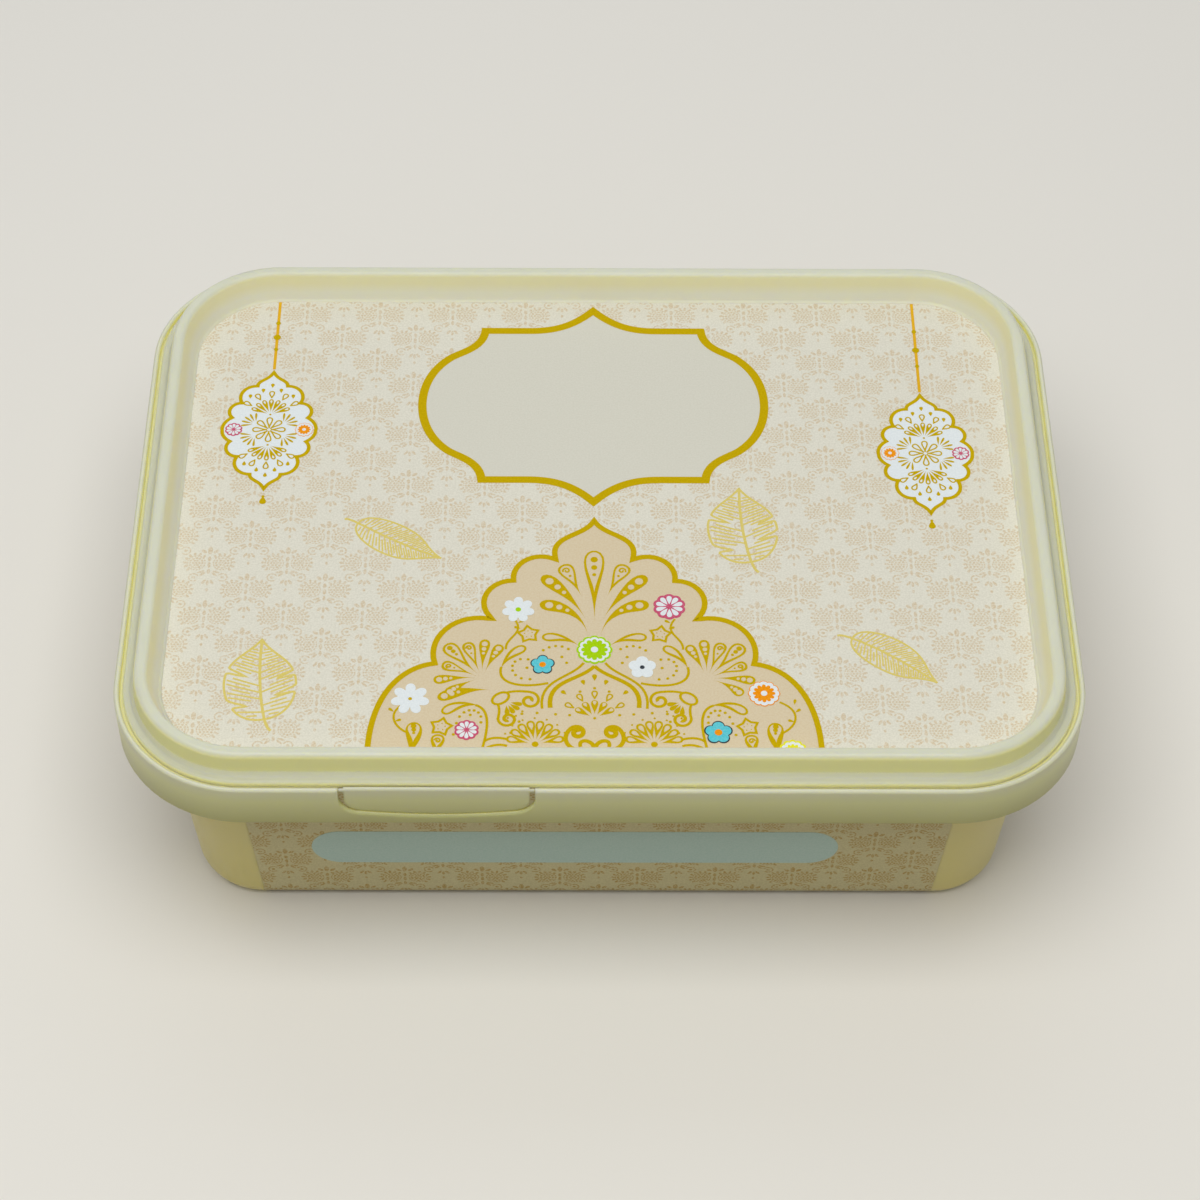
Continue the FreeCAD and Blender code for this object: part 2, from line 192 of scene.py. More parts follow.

# %% [markdown]
# ## Ivory polypropylene
# The tub, lid and tab are injection-moulded polypropylene with an ivory pigment. It is a little
# translucent: light goes in, scatters and comes out nearby, yellower, so edges glow and narrow hollows
# look yellow. Subsurface scattering gives the glow. Light that crosses several walls is costly to trace,
# so its yellow glow is painted into the colour instead, together with some painted shade: by a tint
# function for each moulding, and in the hollows that ambient occlusion finds. The mould leaves a satin
# skin with a very fine grain and faint, slow waves where the melt flowed. The grain is really about
# 0.1 mm; it is drawn at 0.3 mm so that it shows. A Bevel node rounds the solids' sharp edges for the eye.

# %% Ivory polypropylene
WAVE_LENGTH, GRAIN_SIZE = 22 * MM, 0.3 * MM
EDGE_ROUND, HOLLOW_REACH = 0.55 * MM, 1.6 * MM
POLYPROPYLENE_IOR = 1.49


def ivory_polypropylene(name, tint, hollow):
    """Satin translucent plastic: slow colour waves, a painted yellow glow in the hollows, fine grain and
    softened edges.

    The function tint gets the tree, the place, the softened normal and the plain ivory, and returns a
    colour with painted glow and painted shade in it. The hollow colour is a painted glow that lifts the
    shade in narrow hollows."""
    material, tree, shader = new_material(name)
    # Slow waves shift the ivory and the gloss a little, so that broad faces don't look dead even.
    place = add(tree, "TexCoord").outputs["Object"]
    waves = add(tree, "TexNoise", {"Vector": place, "Scale": 1 / WAVE_LENGTH, "Detail": 2.0}).outputs["Fac"]
    grain = add(tree, "TexNoise", {"Vector": place, "Scale": 1 / GRAIN_SIZE, "Detail": 1.0}).outputs["Fac"]
    tones = {0: waves, 6: linear("#D5D8C7"), 7: linear("#CED0BB")}
    ivory = add(tree, "Mix", tones, data_type="RGBA").outputs[2]
    # A softened edge catches a line of light. A narrow hollow that ambient occlusion finds gets the hollow
    # colour: a painted yellow glow of light through the plastic, which lifts the shade there.
    edge = add(tree, "Bevel", {"Radius": EDGE_ROUND}, samples=5).outputs[0]
    openness = add(tree, "AmbientOcclusion", {"Distance": HOLLOW_REACH}, samples=6).outputs["AO"]
    closed = add(tree, "MapRange", {0: openness, 1: 0.66, 2: 0.25}).outputs[0]
    open_colour = tint(tree, place, edge, ivory)
    colour = add(tree, "Mix", {0: closed, 6: open_colour, 7: linear(hollow)}, data_type="RGBA")
    # The skin is satin: lamps show as soft patches, and the grain breaks up their edges.
    skin = add(tree, "MapRange", {0: waves, 3: 0.28, 4: 0.38})
    bump = add(tree, "Bump", {"Strength": 0.12, "Distance": 0.02 * MM, "Height": grain, "Normal": edge})
    tree.links.new(colour.outputs[2], shader.inputs["Base Color"])
    tree.links.new(skin.outputs[0], shader.inputs["Roughness"])
    tree.links.new(bump.outputs[0], shader.inputs["Normal"])
    shader.inputs["IOR"].default_value = POLYPROPYLENE_IOR
    # Red and green light travel further in the plastic than blue, which makes what comes out yellow.
    shader.inputs["Subsurface Weight"].default_value = 0.6
    shader.inputs["Subsurface Radius"].default_value = (1.0, 0.9, 0.3)
    shader.inputs["Subsurface Scale"].default_value = 2.5 * MM
    return material


print("plastic edges look rounded by", EDGE_ROUND / MM, "mm")

# %% [markdown]
# ## Painted light on the lid
# The lid's bead is hollow and its wall is thin, so light that comes through two walls makes an upright face
# look yellower than a level one. That yellow glow is painted into the colour, and so are a deeper shade on
# the low shelf under the bead and a yellow glow at the foot of the sunken panel. The colour follows from the
# softened normal, level or upright and turned outwards or inwards, and from the height: bead, shelf or the
# foot of the sunken panel.

# %% Painted light on the lid
def lid_painted_light(tree, place, edge, ivory):
    """Painted light: ivory on top of the bead, a deeper painted shade on the low shelf and a painted yellow
    glow at the foot of the panel. Upright faces get a painted yellow glow too: strongly on the outside of
    the bead, and a little inside it, more so near the top."""
    height = add(tree, "SeparateXYZ", {0: place}).outputs["Z"]
    # The low shelf gets a deeper painted shade, and the foot of the panel a painted yellow glow.
    low = add(tree, "MapRange", {0: height, 1: RIM_HEIGHT + 2.5 * MM, 2: RIM_HEIGHT + 0.5 * MM}).outputs[0]
    foot = add(tree, "MapRange", {0: height, 1: RIM_HEIGHT + 0.1 * MM, 2: RIM_HEIGHT - 0.5 * MM}).outputs[0]
    high = add(tree, "MapRange", {0: height, 1: RIM_HEIGHT + 0.8 * MM, 2: RIM_HEIGHT + 2.8 * MM}).outputs[0]
    top = add(tree, "Mix", {0: low, 6: ivory, 7: linear("#C5C7B2")}, data_type="RGBA").outputs[2]
    top = add(tree, "Mix", {0: foot, 6: top, 7: linear("#F2EFC4")}, data_type="RGBA").outputs[2]
    # Upright faces get a painted yellow glow of light through the walls, most on the outside of the bead.
    upward = add(tree, "SeparateXYZ", {0: edge}).outputs["Z"]
    slope = add(tree, "Math", {0: upward}, operation="ABSOLUTE").outputs[0]
    steepness = {0: slope, 1: 0.90, 2: 0.15}
    upright = add(tree, "MapRange", steepness, interpolation_type="SMOOTHSTEP").outputs[0]
    level = add(tree, "VectorMath", {0: place, 1: (1, 1, 0)}, operation="MULTIPLY").outputs[0]
    outward = add(tree, "VectorMath", {0: level, 1: edge}, operation="DOT_PRODUCT").outputs["Value"]
    outside = add(tree, "Math", {0: outward, 1: 0.0}, operation="GREATER_THAN").outputs[0]
    inner_tones = {0: high, 6: linear("#F8F5D8"), 7: linear("#F8F0BE")}
    inner = add(tree, "Mix", inner_tones, data_type="RGBA").outputs[2]
    wall = add(tree, "Mix", {0: outside, 6: inner, 7: linear("#FFFBB0")}, data_type="RGBA").outputs[2]
    return add(tree, "Mix", {0: upright, 6: top, 7: wall}, data_type="RGBA").outputs[2]


# The last colour is the painted glow in the lid's hollows.
lid_plastic = ivory_polypropylene("moulded_lid_polypropylene", lid_painted_light, "#EAE7CC")
print(len(lid_plastic.node_tree.nodes), "nodes in the lid's plastic")

# %% [markdown]
# ## Painted light on the tub
# The shroud round the rim has a painted glow at its top, and a painted shade that deepens towards its foot,
# where less light comes through. The walls behind it are thin and lit from within: their outside gets a
# painted amber glow, and their inside stays ivory. What belongs to the shroud is told by how far a point
# lies from the corner centres of the rim's outline.

# %% Painted light on the tub
CORNER_RADIUS, SHROUD_WALL, SHROUD_DEPTH = 25 * MM, 0.9 * MM, 10 * MM
CORNER_CENTRE = (65 * MM, 42 * MM, 0)
STEP_DOWN = (0, 0, -10 * MM)


def tub_painted_light(tree, place, edge, ivory):
    """Ivory at the rim and inside, a painted glow high on the shroud and a painted shade deeper down it, and
    a painted amber glow on the outside of the thin walls.

    The reach is the distance past the corner centre, which is the corner radius all round the rim. A face is
    an outer one if it looks away from the point of the tub's axis that lies 10 mm above it."""
    level = add(tree, "VectorMath", {0: place, 1: (1, 1, 0)}, operation="MULTIPLY").outputs[0]
    folded = add(tree, "VectorMath", {0: level}, operation="ABSOLUTE").outputs[0]
    past = add(tree, "VectorMath", {0: folded, 1: CORNER_CENTRE}, operation="SUBTRACT").outputs[0]
    outside = add(tree, "VectorMath", {0: past, 1: (0, 0, 0)}, operation="MAXIMUM").outputs[0]
    reach = add(tree, "VectorMath", {0: outside}, operation="LENGTH").outputs["Value"]
    height = add(tree, "SeparateXYZ", {0: place}).outputs["Z"]
    shroud_inside = CORNER_RADIUS - SHROUD_WALL
    shroud = add(tree, "Math", {0: reach, 1: shroud_inside}, operation="GREATER_THAN").outputs[0]
    rim = add(tree, "Math", {0: height, 1: RIM_HEIGHT - 3 * MM}, operation="GREATER_THAN").outputs[0]
    pale = add(tree, "Math", {0: shroud, 1: rim}, operation="MAXIMUM").outputs[0]
    # On the shroud: a paler painted glow at its top and a painted shade that deepens to its foot.
    depth = add(tree, "MapRange", {0: height, 1: RIM_HEIGHT, 2: RIM_HEIGHT - SHROUD_DEPTH}).outputs[0]
    upper = add(tree, "MapRange", {0: height, 1: RIM_HEIGHT, 2: RIM_HEIGHT - 3.5 * MM}).outputs[0]
    cream = add(tree, "Mix", {0: upper, 6: ivory, 7: linear("#E6EAB4")}, data_type="RGBA").outputs[2]
    skirt = add(tree, "Mix", {0: depth, 6: cream, 7: linear("#ABAC70")}, data_type="RGBA").outputs[2]
    # A painted amber glow, of light through the thin walls, on their outside; the inside stays ivory.
    from_inside = add(tree, "VectorMath", {0: level, 1: STEP_DOWN}).outputs[0]
    outward = add(tree, "VectorMath", {0: from_inside, 1: edge}, operation="DOT_PRODUCT").outputs["Value"]
    outer = add(tree, "Math", {0: outward, 1: 0.0}, operation="GREATER_THAN").outputs[0]
    wall_tones = {0: outer, 6: linear("#E0DDC2"), 7: linear("#EADC90")}
    wall = add(tree, "Mix", wall_tones, data_type="RGBA").outputs[2]
    return add(tree, "Mix", {0: pale, 6: wall, 7: skirt}, data_type="RGBA").outputs[2]


# The last colour is the painted glow in the tub's hollows.
tub_plastic = ivory_polypropylene("moulded_tub_polypropylene", tub_painted_light, "#F8F2A4")
for name, plastic in (("tub", tub_plastic), ("tear_tab", tub_plastic), ("lid", lid_plastic)):
    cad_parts[name].data.materials.clear()
    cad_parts[name].data.materials.append(plastic)
print("plastic on tub, tear_tab and lid")

# %% [markdown]
# ## The damask on the printed film
# Both labels are printed films that are laid in the mould, with a pale damask: one palmette, repeated in
# rows that are set half a repeat apart. It could be drawn with hundreds of small meshes, but a pattern
# this pale and even is better as arithmetic in the material. Each leaf is an ellipse: a Mapping node
# moves, turns and scales the point so that the ellipse becomes the unit circle, and the length of the
# result is under 1 inside it. The smallest length over all leaves is the palmette. Only the right half is
# listed, because x enters as |x|.

# %% Leaves of the palmette
REPEAT_X, REPEAT_Y = 14.95, 13.34


def fan(middle, reach, angles, half_length, half_width):
    """Leaves round a point: each stands at its angle, a reach away, and points outwards. A row of the result
    is x, y, angle, half length and half width."""
    turn = np.radians(angles)
    x = middle[0] + reach * np.cos(turn)
    y = middle[1] + reach * np.sin(turn)
    return np.column_stack([x, y, turn, np.full_like(x, half_length), np.full_like(x, half_width)])


palmette = np.vstack([
    fan((0, 4.15), 0, [90], 0.95, 0.46),
    fan((0, 2.9), 1.50, [40], 0.62, 0.34),
    fan((0, 2.0), 0, [90], 0.62, 0.34),
    fan((0, 0.5), 0, [90], 0.72, 0.30),
    fan((0, -1.1), 0, [90], 0.62, 0.30),
    fan((2.5, 1.0), 2.18, np.linspace(-48, 132, 8), 0.38, 0.27),
    fan((0, -0.7), 1.55, [340, 316], 0.72, 0.25),
    fan((2.75, -2.6), 0.88, np.linspace(-115, 135, 7), 0.17, 0.36),
    fan((2.75, -2.6), 0, [0], 0.36, 0.30),
    fan((0, -2.6), 1.35, [270, 304], 0.64, 0.28),
    fan((0, -5.7), 0, [270], 0.38, 0.26),
])
print(len(palmette), "leaves in half a palmette")

# %% [markdown]
# In each half sits a round flower made of dots. Its dots stand on rings, six more on each ring than on
# the last, which keeps them about evenly apart, so they need no list: the nearest dot is found by
# rounding.

# %% Dotted rosette
ROSETTE, ROSETTE_REACH = (2.5, 1.0, 0), 1.85
DOT_PITCH, DOT_RADIUS = 0.60, 0.25


def dotted_rosette(tree, folded):
    """Rings of dots about a middle, as a length that is under 1 in a dot. Ring k has six times k dots: along
    is the way round from the nearest dot, and across the way out. Past the reach the length is large."""
    spoke = add(tree, "VectorMath", {0: folded, 1: ROSETTE}, operation="SUBTRACT").outputs[0]
    radius = add(tree, "VectorMath", {0: spoke}, operation="LENGTH").outputs["Value"]
    parts = add(tree, "SeparateXYZ", {0: spoke}).outputs
    angle = add(tree, "Math", {0: parts["Y"], 1: parts["X"]}, operation="ARCTAN2").outputs[0]
    ring = add(tree, "Math", {0: radius, 1: DOT_PITCH}, operation="DIVIDE").outputs[0]
    whole = add(tree, "Math", {0: ring}, operation="ROUND").outputs[0]
    across = add(tree, "Math", {0: ring, 1: whole}, operation="SUBTRACT").outputs[0]
    turns = add(tree, "Math", {0: angle, 1: 6 / (2 * math.pi)}, operation="MULTIPLY").outputs[0]
    count = add(tree, "Math", {0: turns, 1: whole}, operation="MULTIPLY").outputs[0]
    along = add(tree, "Math", {0: count, 1: 0.5, 2: -0.5}, operation="WRAP").outputs[0]
    away = add(tree, "CombineXYZ", {0: along, 1: across}).outputs[0]
    far = add(tree, "VectorMath", {0: away}, operation="LENGTH").outputs["Value"]
    dot = add(tree, "Math", {0: far, 1: DOT_PITCH / DOT_RADIUS}, operation="MULTIPLY").outputs[0]
    past = add(tree, "Math", {0: radius, 1: ROSETTE_REACH}, operation="GREATER_THAN").outputs[0]
    return add(tree, "Math", {0: past, 1: 5.0, 2: dot}, operation="MULTIPLY_ADD").outputs[0]


print("a rosette has", round(ROSETTE_REACH / DOT_PITCH), "rings of dots")

# %% [markdown]
# ## Laying out the repeat
# A label's pattern runs along its panel: x and y on the lid, and width and height on each wall, picked by
# the way that the face points. The half-drop repeat is two grids of cells, and a point belongs to the one
# in whose diamond it lies.

# %% Panel coordinates
STEEP = 0.7


def panel_coordinates(tree):
    """Millimetres along the panel of a face: (x, y) if it is level, (y, z) on an end, else (x, z)."""
    source = add(tree, "TexCoord").outputs
    scaled = add(tree, "VectorMath", {0: source["Object"], "Scale": 1 / MM}, operation="SCALE").outputs[0]
    place = add(tree, "SeparateXYZ", {0: scaled}).outputs
    sizes = add(tree, "VectorMath", {0: source["Normal"]}, operation="ABSOLUTE").outputs[0]
    facing = add(tree, "SeparateXYZ", {0: sizes}).outputs
    level = add(tree, "Math", {0: facing["Z"], 1: STEEP}, operation="GREATER_THAN").outputs[0]
    end = add(tree, "Math", {0: facing["X"], 1: STEEP}, operation="GREATER_THAN").outputs[0]
    across = add(tree, "Mix", {0: end, 2: place["X"], 3: place["Y"]}).outputs[0]
    upward = add(tree, "Mix", {0: level, 2: place["Z"], 3: place["Y"]}).outputs[0]
    return add(tree, "CombineXYZ", {0: across, 1: upward}).outputs[0]


print("a face is level or an end if its normal passes", STEEP)

# %% [markdown]
# Wrapping a coordinate repeats the pattern without end. A plain wrap gives straight rows and columns; for
# the half drop, the point is wrapped twice, once moved by half a repeat both ways.

# %% Half-drop cell
def half_drop_cell(tree, place):
    """The point within its cell, seen from the cell's middle, with x folded onto the right half."""
    half = (REPEAT_X / 2, REPEAT_Y / 2, 1.0)
    low = tuple(-side for side in half)
    cells = []
    for shift in ((0, 0, 0), (half[0], half[1], 0)):
        moved = add(tree, "VectorMath", {0: place, 1: shift}).outputs[0]
        cells.append(add(tree, "VectorMath", {0: moved, 1: half, 2: low}, operation="WRAP").outputs[0])
    size = add(tree, "VectorMath", {0: cells[0]}, operation="ABSOLUTE").outputs[0]
    per_half = (1 / half[0], 1 / half[1], 0)
    diamond = add(tree, "VectorMath", {0: size, 1: per_half}, operation="DOT_PRODUCT").outputs["Value"]
    inside = add(tree, "Math", {0: diamond, 1: 1.0}, operation="LESS_THAN").outputs[0]
    local = add(tree, "Mix", {0: inside, 4: cells[1], 5: cells[0]}, data_type="VECTOR").outputs[1]
    parts = add(tree, "SeparateXYZ", {0: local}).outputs
    right_half = add(tree, "Math", {0: parts["X"]}, operation="ABSOLUTE").outputs[0]
    return add(tree, "CombineXYZ", {0: right_half, 1: parts["Y"]}).outputs[0]


print("one repeat is", REPEAT_X, "by", REPEAT_Y, "mm")

# %% [markdown]
# The figure is where any of its lengths is under 1. Printed edges are a little soft, so the share of ink
# rises over a narrow band round 1 and not at once.

# %% Palmette in its repeat
LEAF_EDGE = (1.15, 0.85)


def palmette_print(tree, place):
    """1 where the damask prints, with a soft edge: where the rosette's or a leaf's length is under 1."""
    folded = half_drop_cell(tree, place)
    nearest = dotted_rosette(tree, folded)
    for x, y, turn, half_length, half_width in palmette.tolist():
        ellipse = {"Vector": folded, "Location": (x, y, 0), "Rotation": (0, 0, turn),
                   "Scale": (half_length, half_width, 1)}
        leaf = add(tree, "Mapping", ellipse, vector_type="TEXTURE").outputs[0]
        length = add(tree, "VectorMath", {0: leaf}, operation="LENGTH").outputs["Value"]
        nearest = add(tree, "Math", {0: nearest, 1: length}, operation="MINIMUM").outputs[0]
    edge = {0: nearest, 1: LEAF_EDGE[0], 2: LEAF_EDGE[1]}
    return add(tree, "MapRange", edge, interpolation_type="SMOOTHSTEP").outputs[0]


print("a leaf's edge is soft between lengths of", LEAF_EDGE)

# %% [markdown]
# ## The printed film
# The film is polypropylene too, printed in reverse and moulded in, so it has a satin face with a fine
# linen grain and no thickness that the eye can see. The grain also makes the print a little uneven.

# %% Printed film
LINEN_GRAIN = 0.35 * MM
GRAIN_LOW, GRAIN_HIGH = 0.35, 0.65


def satin_print(tree, shader):
    """The film's own surface: linen grain in bump, and in roughness about 0.49. Returns the grain."""
    # The linen grain turns the lamp's reflection into a faint, even sheen.
    place = add(tree, "TexCoord").outputs["Object"]
    grain = add(tree, "TexNoise", {"Vector": place, "Scale": 1 / LINEN_GRAIN, "Detail": 2.0}).outputs["Fac"]
    skin = add(tree, "MapRange", {0: grain, 3: 0.42, 4: 0.56})
    bump = add(tree, "Bump", {"Strength": 0.35, "Distance": 0.03 * MM, "Height": grain})
    tree.links.new(skin.outputs[0], shader.inputs["Roughness"])
    tree.links.new(bump.outputs[0], shader.inputs["Normal"])
    shader.inputs["IOR"].default_value = POLYPROPYLENE_IOR
    shader.inputs["Specular IOR Level"].default_value = 0.3
    return grain


def printed_film(name, paper, dim, figure, contrast):
    """Cream film, mottled with a dimmer tone, and the damask in a second ink, a little uneven."""
    material, tree, shader = new_material(name)
    grain = satin_print(tree, shader)
    figure_share = palmette_print(tree, panel_coordinates(tree))
    mottle = add(tree, "MapRange", {0: grain, 1: GRAIN_LOW, 2: GRAIN_HIGH}).outputs[0]
    uneven = add(tree, "MapRange", {0: mottle, 3: 0.35 * contrast, 4: contrast}).outputs[0]
    share = add(tree, "Math", {0: figure_share, 1: uneven}, operation="MULTIPLY").outputs[0]
    ground = add(tree, "Mix", {0: mottle, 6: linear(paper), 7: linear(dim)}, data_type="RGBA").outputs[2]
    tint = add(tree, "Mix", {0: share, 6: ground, 7: linear(figure)}, data_type="RGBA")
    tree.links.new(tint.outputs[2], shader.inputs["Base Color"])
    return material


films = {"lid_label": printed_film("printed_lid_film", "#DFDDD1", "#D4D2C5", "#C8B28C", 0.80),
         "tub_label": printed_film("printed_wall_film", "#D9D2A8", "#CDC599", "#B6964C", 1.0)}
for name, film in films.items():
    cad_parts[name].data.materials.clear()
    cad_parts[name].data.materials.append(film)
print("films on", ", ".join(films))

# %% [markdown]
# ## Inks
# The ornaments are flat opaque inks on the same film, so they share its satin grain. Offset ink is never
# one even colour: tiny dots of paper show through, and the grain mixes a second, lighter tone in. The
# inks hardly mirror the lamps, so that they keep their full colour.

# %% Inks
def printing_ink(name, colour, thin):
    """Opaque ink: its full colour where the grain is high and its thin tone where it is low."""
    material, tree, shader = new_material(name)
    grain = satin_print(tree, shader)
    shader.inputs["Specular IOR Level"].default_value = 0.02
    share = add(tree, "MapRange", {0: grain, 1: GRAIN_LOW, 2: GRAIN_HIGH})
    tint = add(tree, "Mix", {0: share.outputs[0], 6: linear(thin), 7: linear(colour)}, data_type="RGBA")
    tree.links.new(tint.outputs[2], shader.inputs["Base Color"])
    return material


inks = {
    "gold": printing_ink("gold_ink", "#BDA002", "#C7AB08"),
    "amber": printing_ink("amber_ink", "#DBA71A", "#E0B22E"),
    "pale_gold": printing_ink("pale_gold_ink", "#D6C462", "#DACB7E"),
    "plaque": printing_ink("plaque_cream_ink", "#D1D0C4", "#D6D5CA"),
    "peach": printing_ink("peach_ink", "#D3C3A4", "#D8CBB0"),
    "white": printing_ink("white_ink", "#E4EBEF", "#DCE4E9"),
    "green": printing_ink("leaf_green_ink", "#A0CE00", "#AAD41C"),
    "blue": printing_ink("sky_blue_ink", "#52C2D4", "#6CCBD8"),
    "slate": printing_ink("slate_ink", "#2E343C", "#41474F"),
    "orange": printing_ink("orange_ink", "#EC8C00", "#F09E24"),
    "rose": printing_ink("rose_ink", "#C24A6C", "#CB6682"),
    "yellow": printing_ink("yellow_ink", "#E0E010", "#E4E23C"),
    "mist": printing_ink("mist_blue_ink", "#BFDBD6", "#C8E0DC"),
}
print(len(inks), "inks")

# %% [markdown]
# ## Two shapes of ink
# Everything printed is either a line or a filled patch. Both get a real thickness of a few hundredths of
# a millimetre, each further layer of ink a little more, so that the top one shows. A line is a ribbon:
# the path's points moved half a width to either side.

# %% Ribbon
FILM_BITE, LAYER, LAP = 0.010, 0.020, 0.004


def triangles(quads):
    """Each four-cornered face as two triangles."""
    return np.vstack([quads[:, [0, 1, 2]], quads[:, [0, 2, 3]]])


def ribbon(path, width, layer, closed=False):
    """A line: each point moves by half the width along the mitre of the two runs that meet there. The mitre
    is the sum of their normals over one plus the product of these, so the line keeps its width."""
    path = np.asarray(path, float)
    runs = np.diff(np.vstack([path, path[:1]]) if closed else path, axis=0)
    normals = np.column_stack([-runs[:, 1], runs[:, 0]]) / np.linalg.norm(runs, axis=1)[:, None]
    before = np.roll(normals, 1, axis=0) if closed else np.vstack([normals[:1], normals])
    after = normals if closed else np.vstack([normals, normals[-1:]])
    mitre = (before + after) / (1 + np.clip((before * after).sum(1), -0.5, 1))[:, None]
    side = mitre * (np.broadcast_to(width, len(path)) / 2)[:, None]
    low = np.full((len(path), 1), -FILM_BITE)
    high = np.linspace(LAYER * layer, LAYER * layer + LAP, len(path))[:, None]
    left, right = path + side, path - side
    rings = np.stack([np.hstack([left, low]), np.hstack([right, low]),
                      np.hstack([right, high]), np.hstack([left, high])], axis=1)
    count = len(path) if closed else len(path) - 1
    step, corner = np.meshgrid(np.arange(count), np.arange(4), indexing="ij")
    ahead, turn = (step + 1) % len(path), (corner + 1) % 4
    corners = [step * 4 + corner, ahead * 4 + corner, ahead * 4 + turn, step * 4 + turn]
    quads = np.stack(corners, axis=-1).reshape(-1, 4)
    if not closed:
        ends = np.array([[0, 1, 2, 3], [3, 2, 1, 0]]) + np.array([[0], [4 * count]])
        quads = np.vstack([quads, ends])
    return rings.reshape(-1, 3), triangles(quads)


print("a line of one run has", len(ribbon([(0, 0), (1, 0)], 0.1, 1)[1]), "triangles")

# %% [markdown]
# A patch is a flat area with a wall round it. If it has a middle, rays run from there to the outline, as
# in a disc. A bent feather has no such middle, so rungs join its two long sides instead, like a ladder.

# %% Patch
def patch(outline, layer, middle=None):
    """A filled area, above and below, and a wall round it. With a middle, rays run from it to the outline.
    Without one, rungs join the outline's two sides, from its first and last points on, so it may be bent."""
    outline = np.asarray(outline, float)
    x, y = outline.T
    if (x * np.roll(y, -1) - y * np.roll(x, -1)).sum() < 0:
        outline = outline[::-1]
    count = len(outline)
    here = np.arange(count)
    ahead = np.roll(here, -1)
    if middle is None:
        flat = outline
        rung = np.arange(count // 2 - 1)
        top = triangles(np.column_stack([rung, rung + 1, count - 2 - rung, count - 1 - rung]))
    else:
        flat = np.vstack([outline, middle])
        top = np.column_stack([here, ahead, np.full(count, count)])
    under = len(flat)
    heights = np.repeat([LAYER * layer, -FILM_BITE], under)
    points = np.column_stack([np.vstack([flat, flat]), heights])
    wall = np.column_stack([here + under, ahead + under, ahead, here])
    return points, np.vstack([top, top[:, ::-1] + under, triangles(wall)])


print("a square patch has", len(patch([(0, 0), (1, 0), (1, 1), (0, 1)], 1)[1]), "triangles")

# %% [markdown]
# ## Curves to print along
# A few curves draw all the ornaments, each a formula in one parameter. Three are open: a cubic curve for
# ogee lines, a circular bow for scallops, and a scroll. A spline through listed points would do too, but
# then every curl would need a list of its own.

# %% Open curves
SCROLL_SHRINK = 0.82


def cubic(a, b, c, d, count=14):
    """Cubic curve from a to d with handles b and c: they are weighted by the terms of (1 - t + t) cubed."""
    t = np.linspace(0, 1, count)[:, None]
    a, b, c, d = (np.asarray(p, float) for p in (a, b, c, d))
    return (1 - t) ** 3 * a + 3 * (1 - t) ** 2 * t * b + 3 * (1 - t) * t ** 2 * c + t ** 3 * d


def bow(start, end, bulge, count=12):
    """Circular arc to the left of the chord from start to end. It rises to bulge times the chord."""
    start, end = np.asarray(start, float), np.asarray(end, float)
    chord = end - start
    half = 2 * math.atan(2 * bulge)
    radius = np.linalg.norm(chord) / (2 * math.sin(half))
    ahead = chord / np.linalg.norm(chord)
    left = np.array([-ahead[1], ahead[0]])
    middle = (start + end) / 2 - left * radius * math.cos(half)
    t = np.linspace(-half, half, count)[:, None]
    return middle + radius * (left * np.cos(t) + ahead * np.sin(t))


def scroll(radius, turns, count=26):
    """Spiral that starts at the origin along x and winds in: its radius falls evenly with the angle."""
    t = np.linspace(0, 1, count)
    angle = 2 * math.pi * turns * t - math.pi / 2
    reach = radius * (1 - SCROLL_SHRINK * t)
    return np.column_stack([reach * np.cos(angle), radius + reach * np.sin(angle)])


print("a bow over 10 mm rises", round(float(bow((0, 0), (10, 0), 0.3, 13)[6, 1]), 2), "mm")

# %% [markdown]
# Four outlines are closed: a teardrop for feathers and petals, a circle, a flower with scalloped petals,
# and a small star.

# %% Closed outlines
STAR_NECK = 0.64


def teardrop(length, width, sharp=1.6, count=26):
    """Closed drop with its tip at the origin: along is (1 - cos t) / 2, and across is sin t times a power
    of sin(t/2), which makes a slim stalk if it is high."""
    t = np.linspace(0, 2 * math.pi, count, endpoint=False) + math.pi / count
    across = np.sin(t) * np.sin(t / 2) ** sharp
    return np.column_stack([length * (1 - np.cos(t)) / 2, width / 2 * across / across.max()])


def circle(at, radius, count=16):
    """Circle about a point."""
    t = np.linspace(0, 2 * math.pi, count, endpoint=False)
    return np.column_stack([at[0] + radius * np.cos(t), at[1] + radius * np.sin(t)])


def scalloped(at, radius, petals, depth, turn=0.0, count=72):
    """Flower outline: the radius follows the size of the cosine of half the petals times the angle."""
    t = np.linspace(0, 2 * math.pi, count, endpoint=False)
    reach = radius * (1 - depth + depth * np.abs(np.cos(petals * t / 2)) ** 0.6)
    return np.column_stack([at[0] + reach * np.cos(t + turn), at[1] + reach * np.sin(t + turn)])


def star(at, radius, turn):
    """Five-pointed star with blunt arms: the radius is full and then a share of it, by turns."""
    t = np.radians(turn + np.arange(10) * 36)
    reach = np.where(np.arange(10) % 2 == 0, radius, radius * STAR_NECK)
    return np.column_stack([at[0] + reach * np.cos(t), at[1] + reach * np.sin(t)])


print("a 10 mm teardrop is", round(float(np.ptp(teardrop(10, 4)[:, 1])), 2), "mm wide")

# %% [markdown]
# Feathers and scrolls are made at the origin along x. Then they are bent, turned and moved into place.

# %% Bend and place
STRAIGHT = 1e-4


def ray(turn, length=1.0):
    """A step of a length in a direction in degrees."""
    return length * np.array([math.cos(math.radians(turn)), math.sin(math.radians(turn))])


def bent(points, curvature):
    """Bends what lies along x into an arc: distance along becomes angle, distance across stays across."""
    along, across = points.T
    angle = curvature * along
    return np.column_stack([np.sin(angle) / curvature - across * np.sin(angle),
                            (1 - np.cos(angle)) / curvature + across * np.cos(angle)])


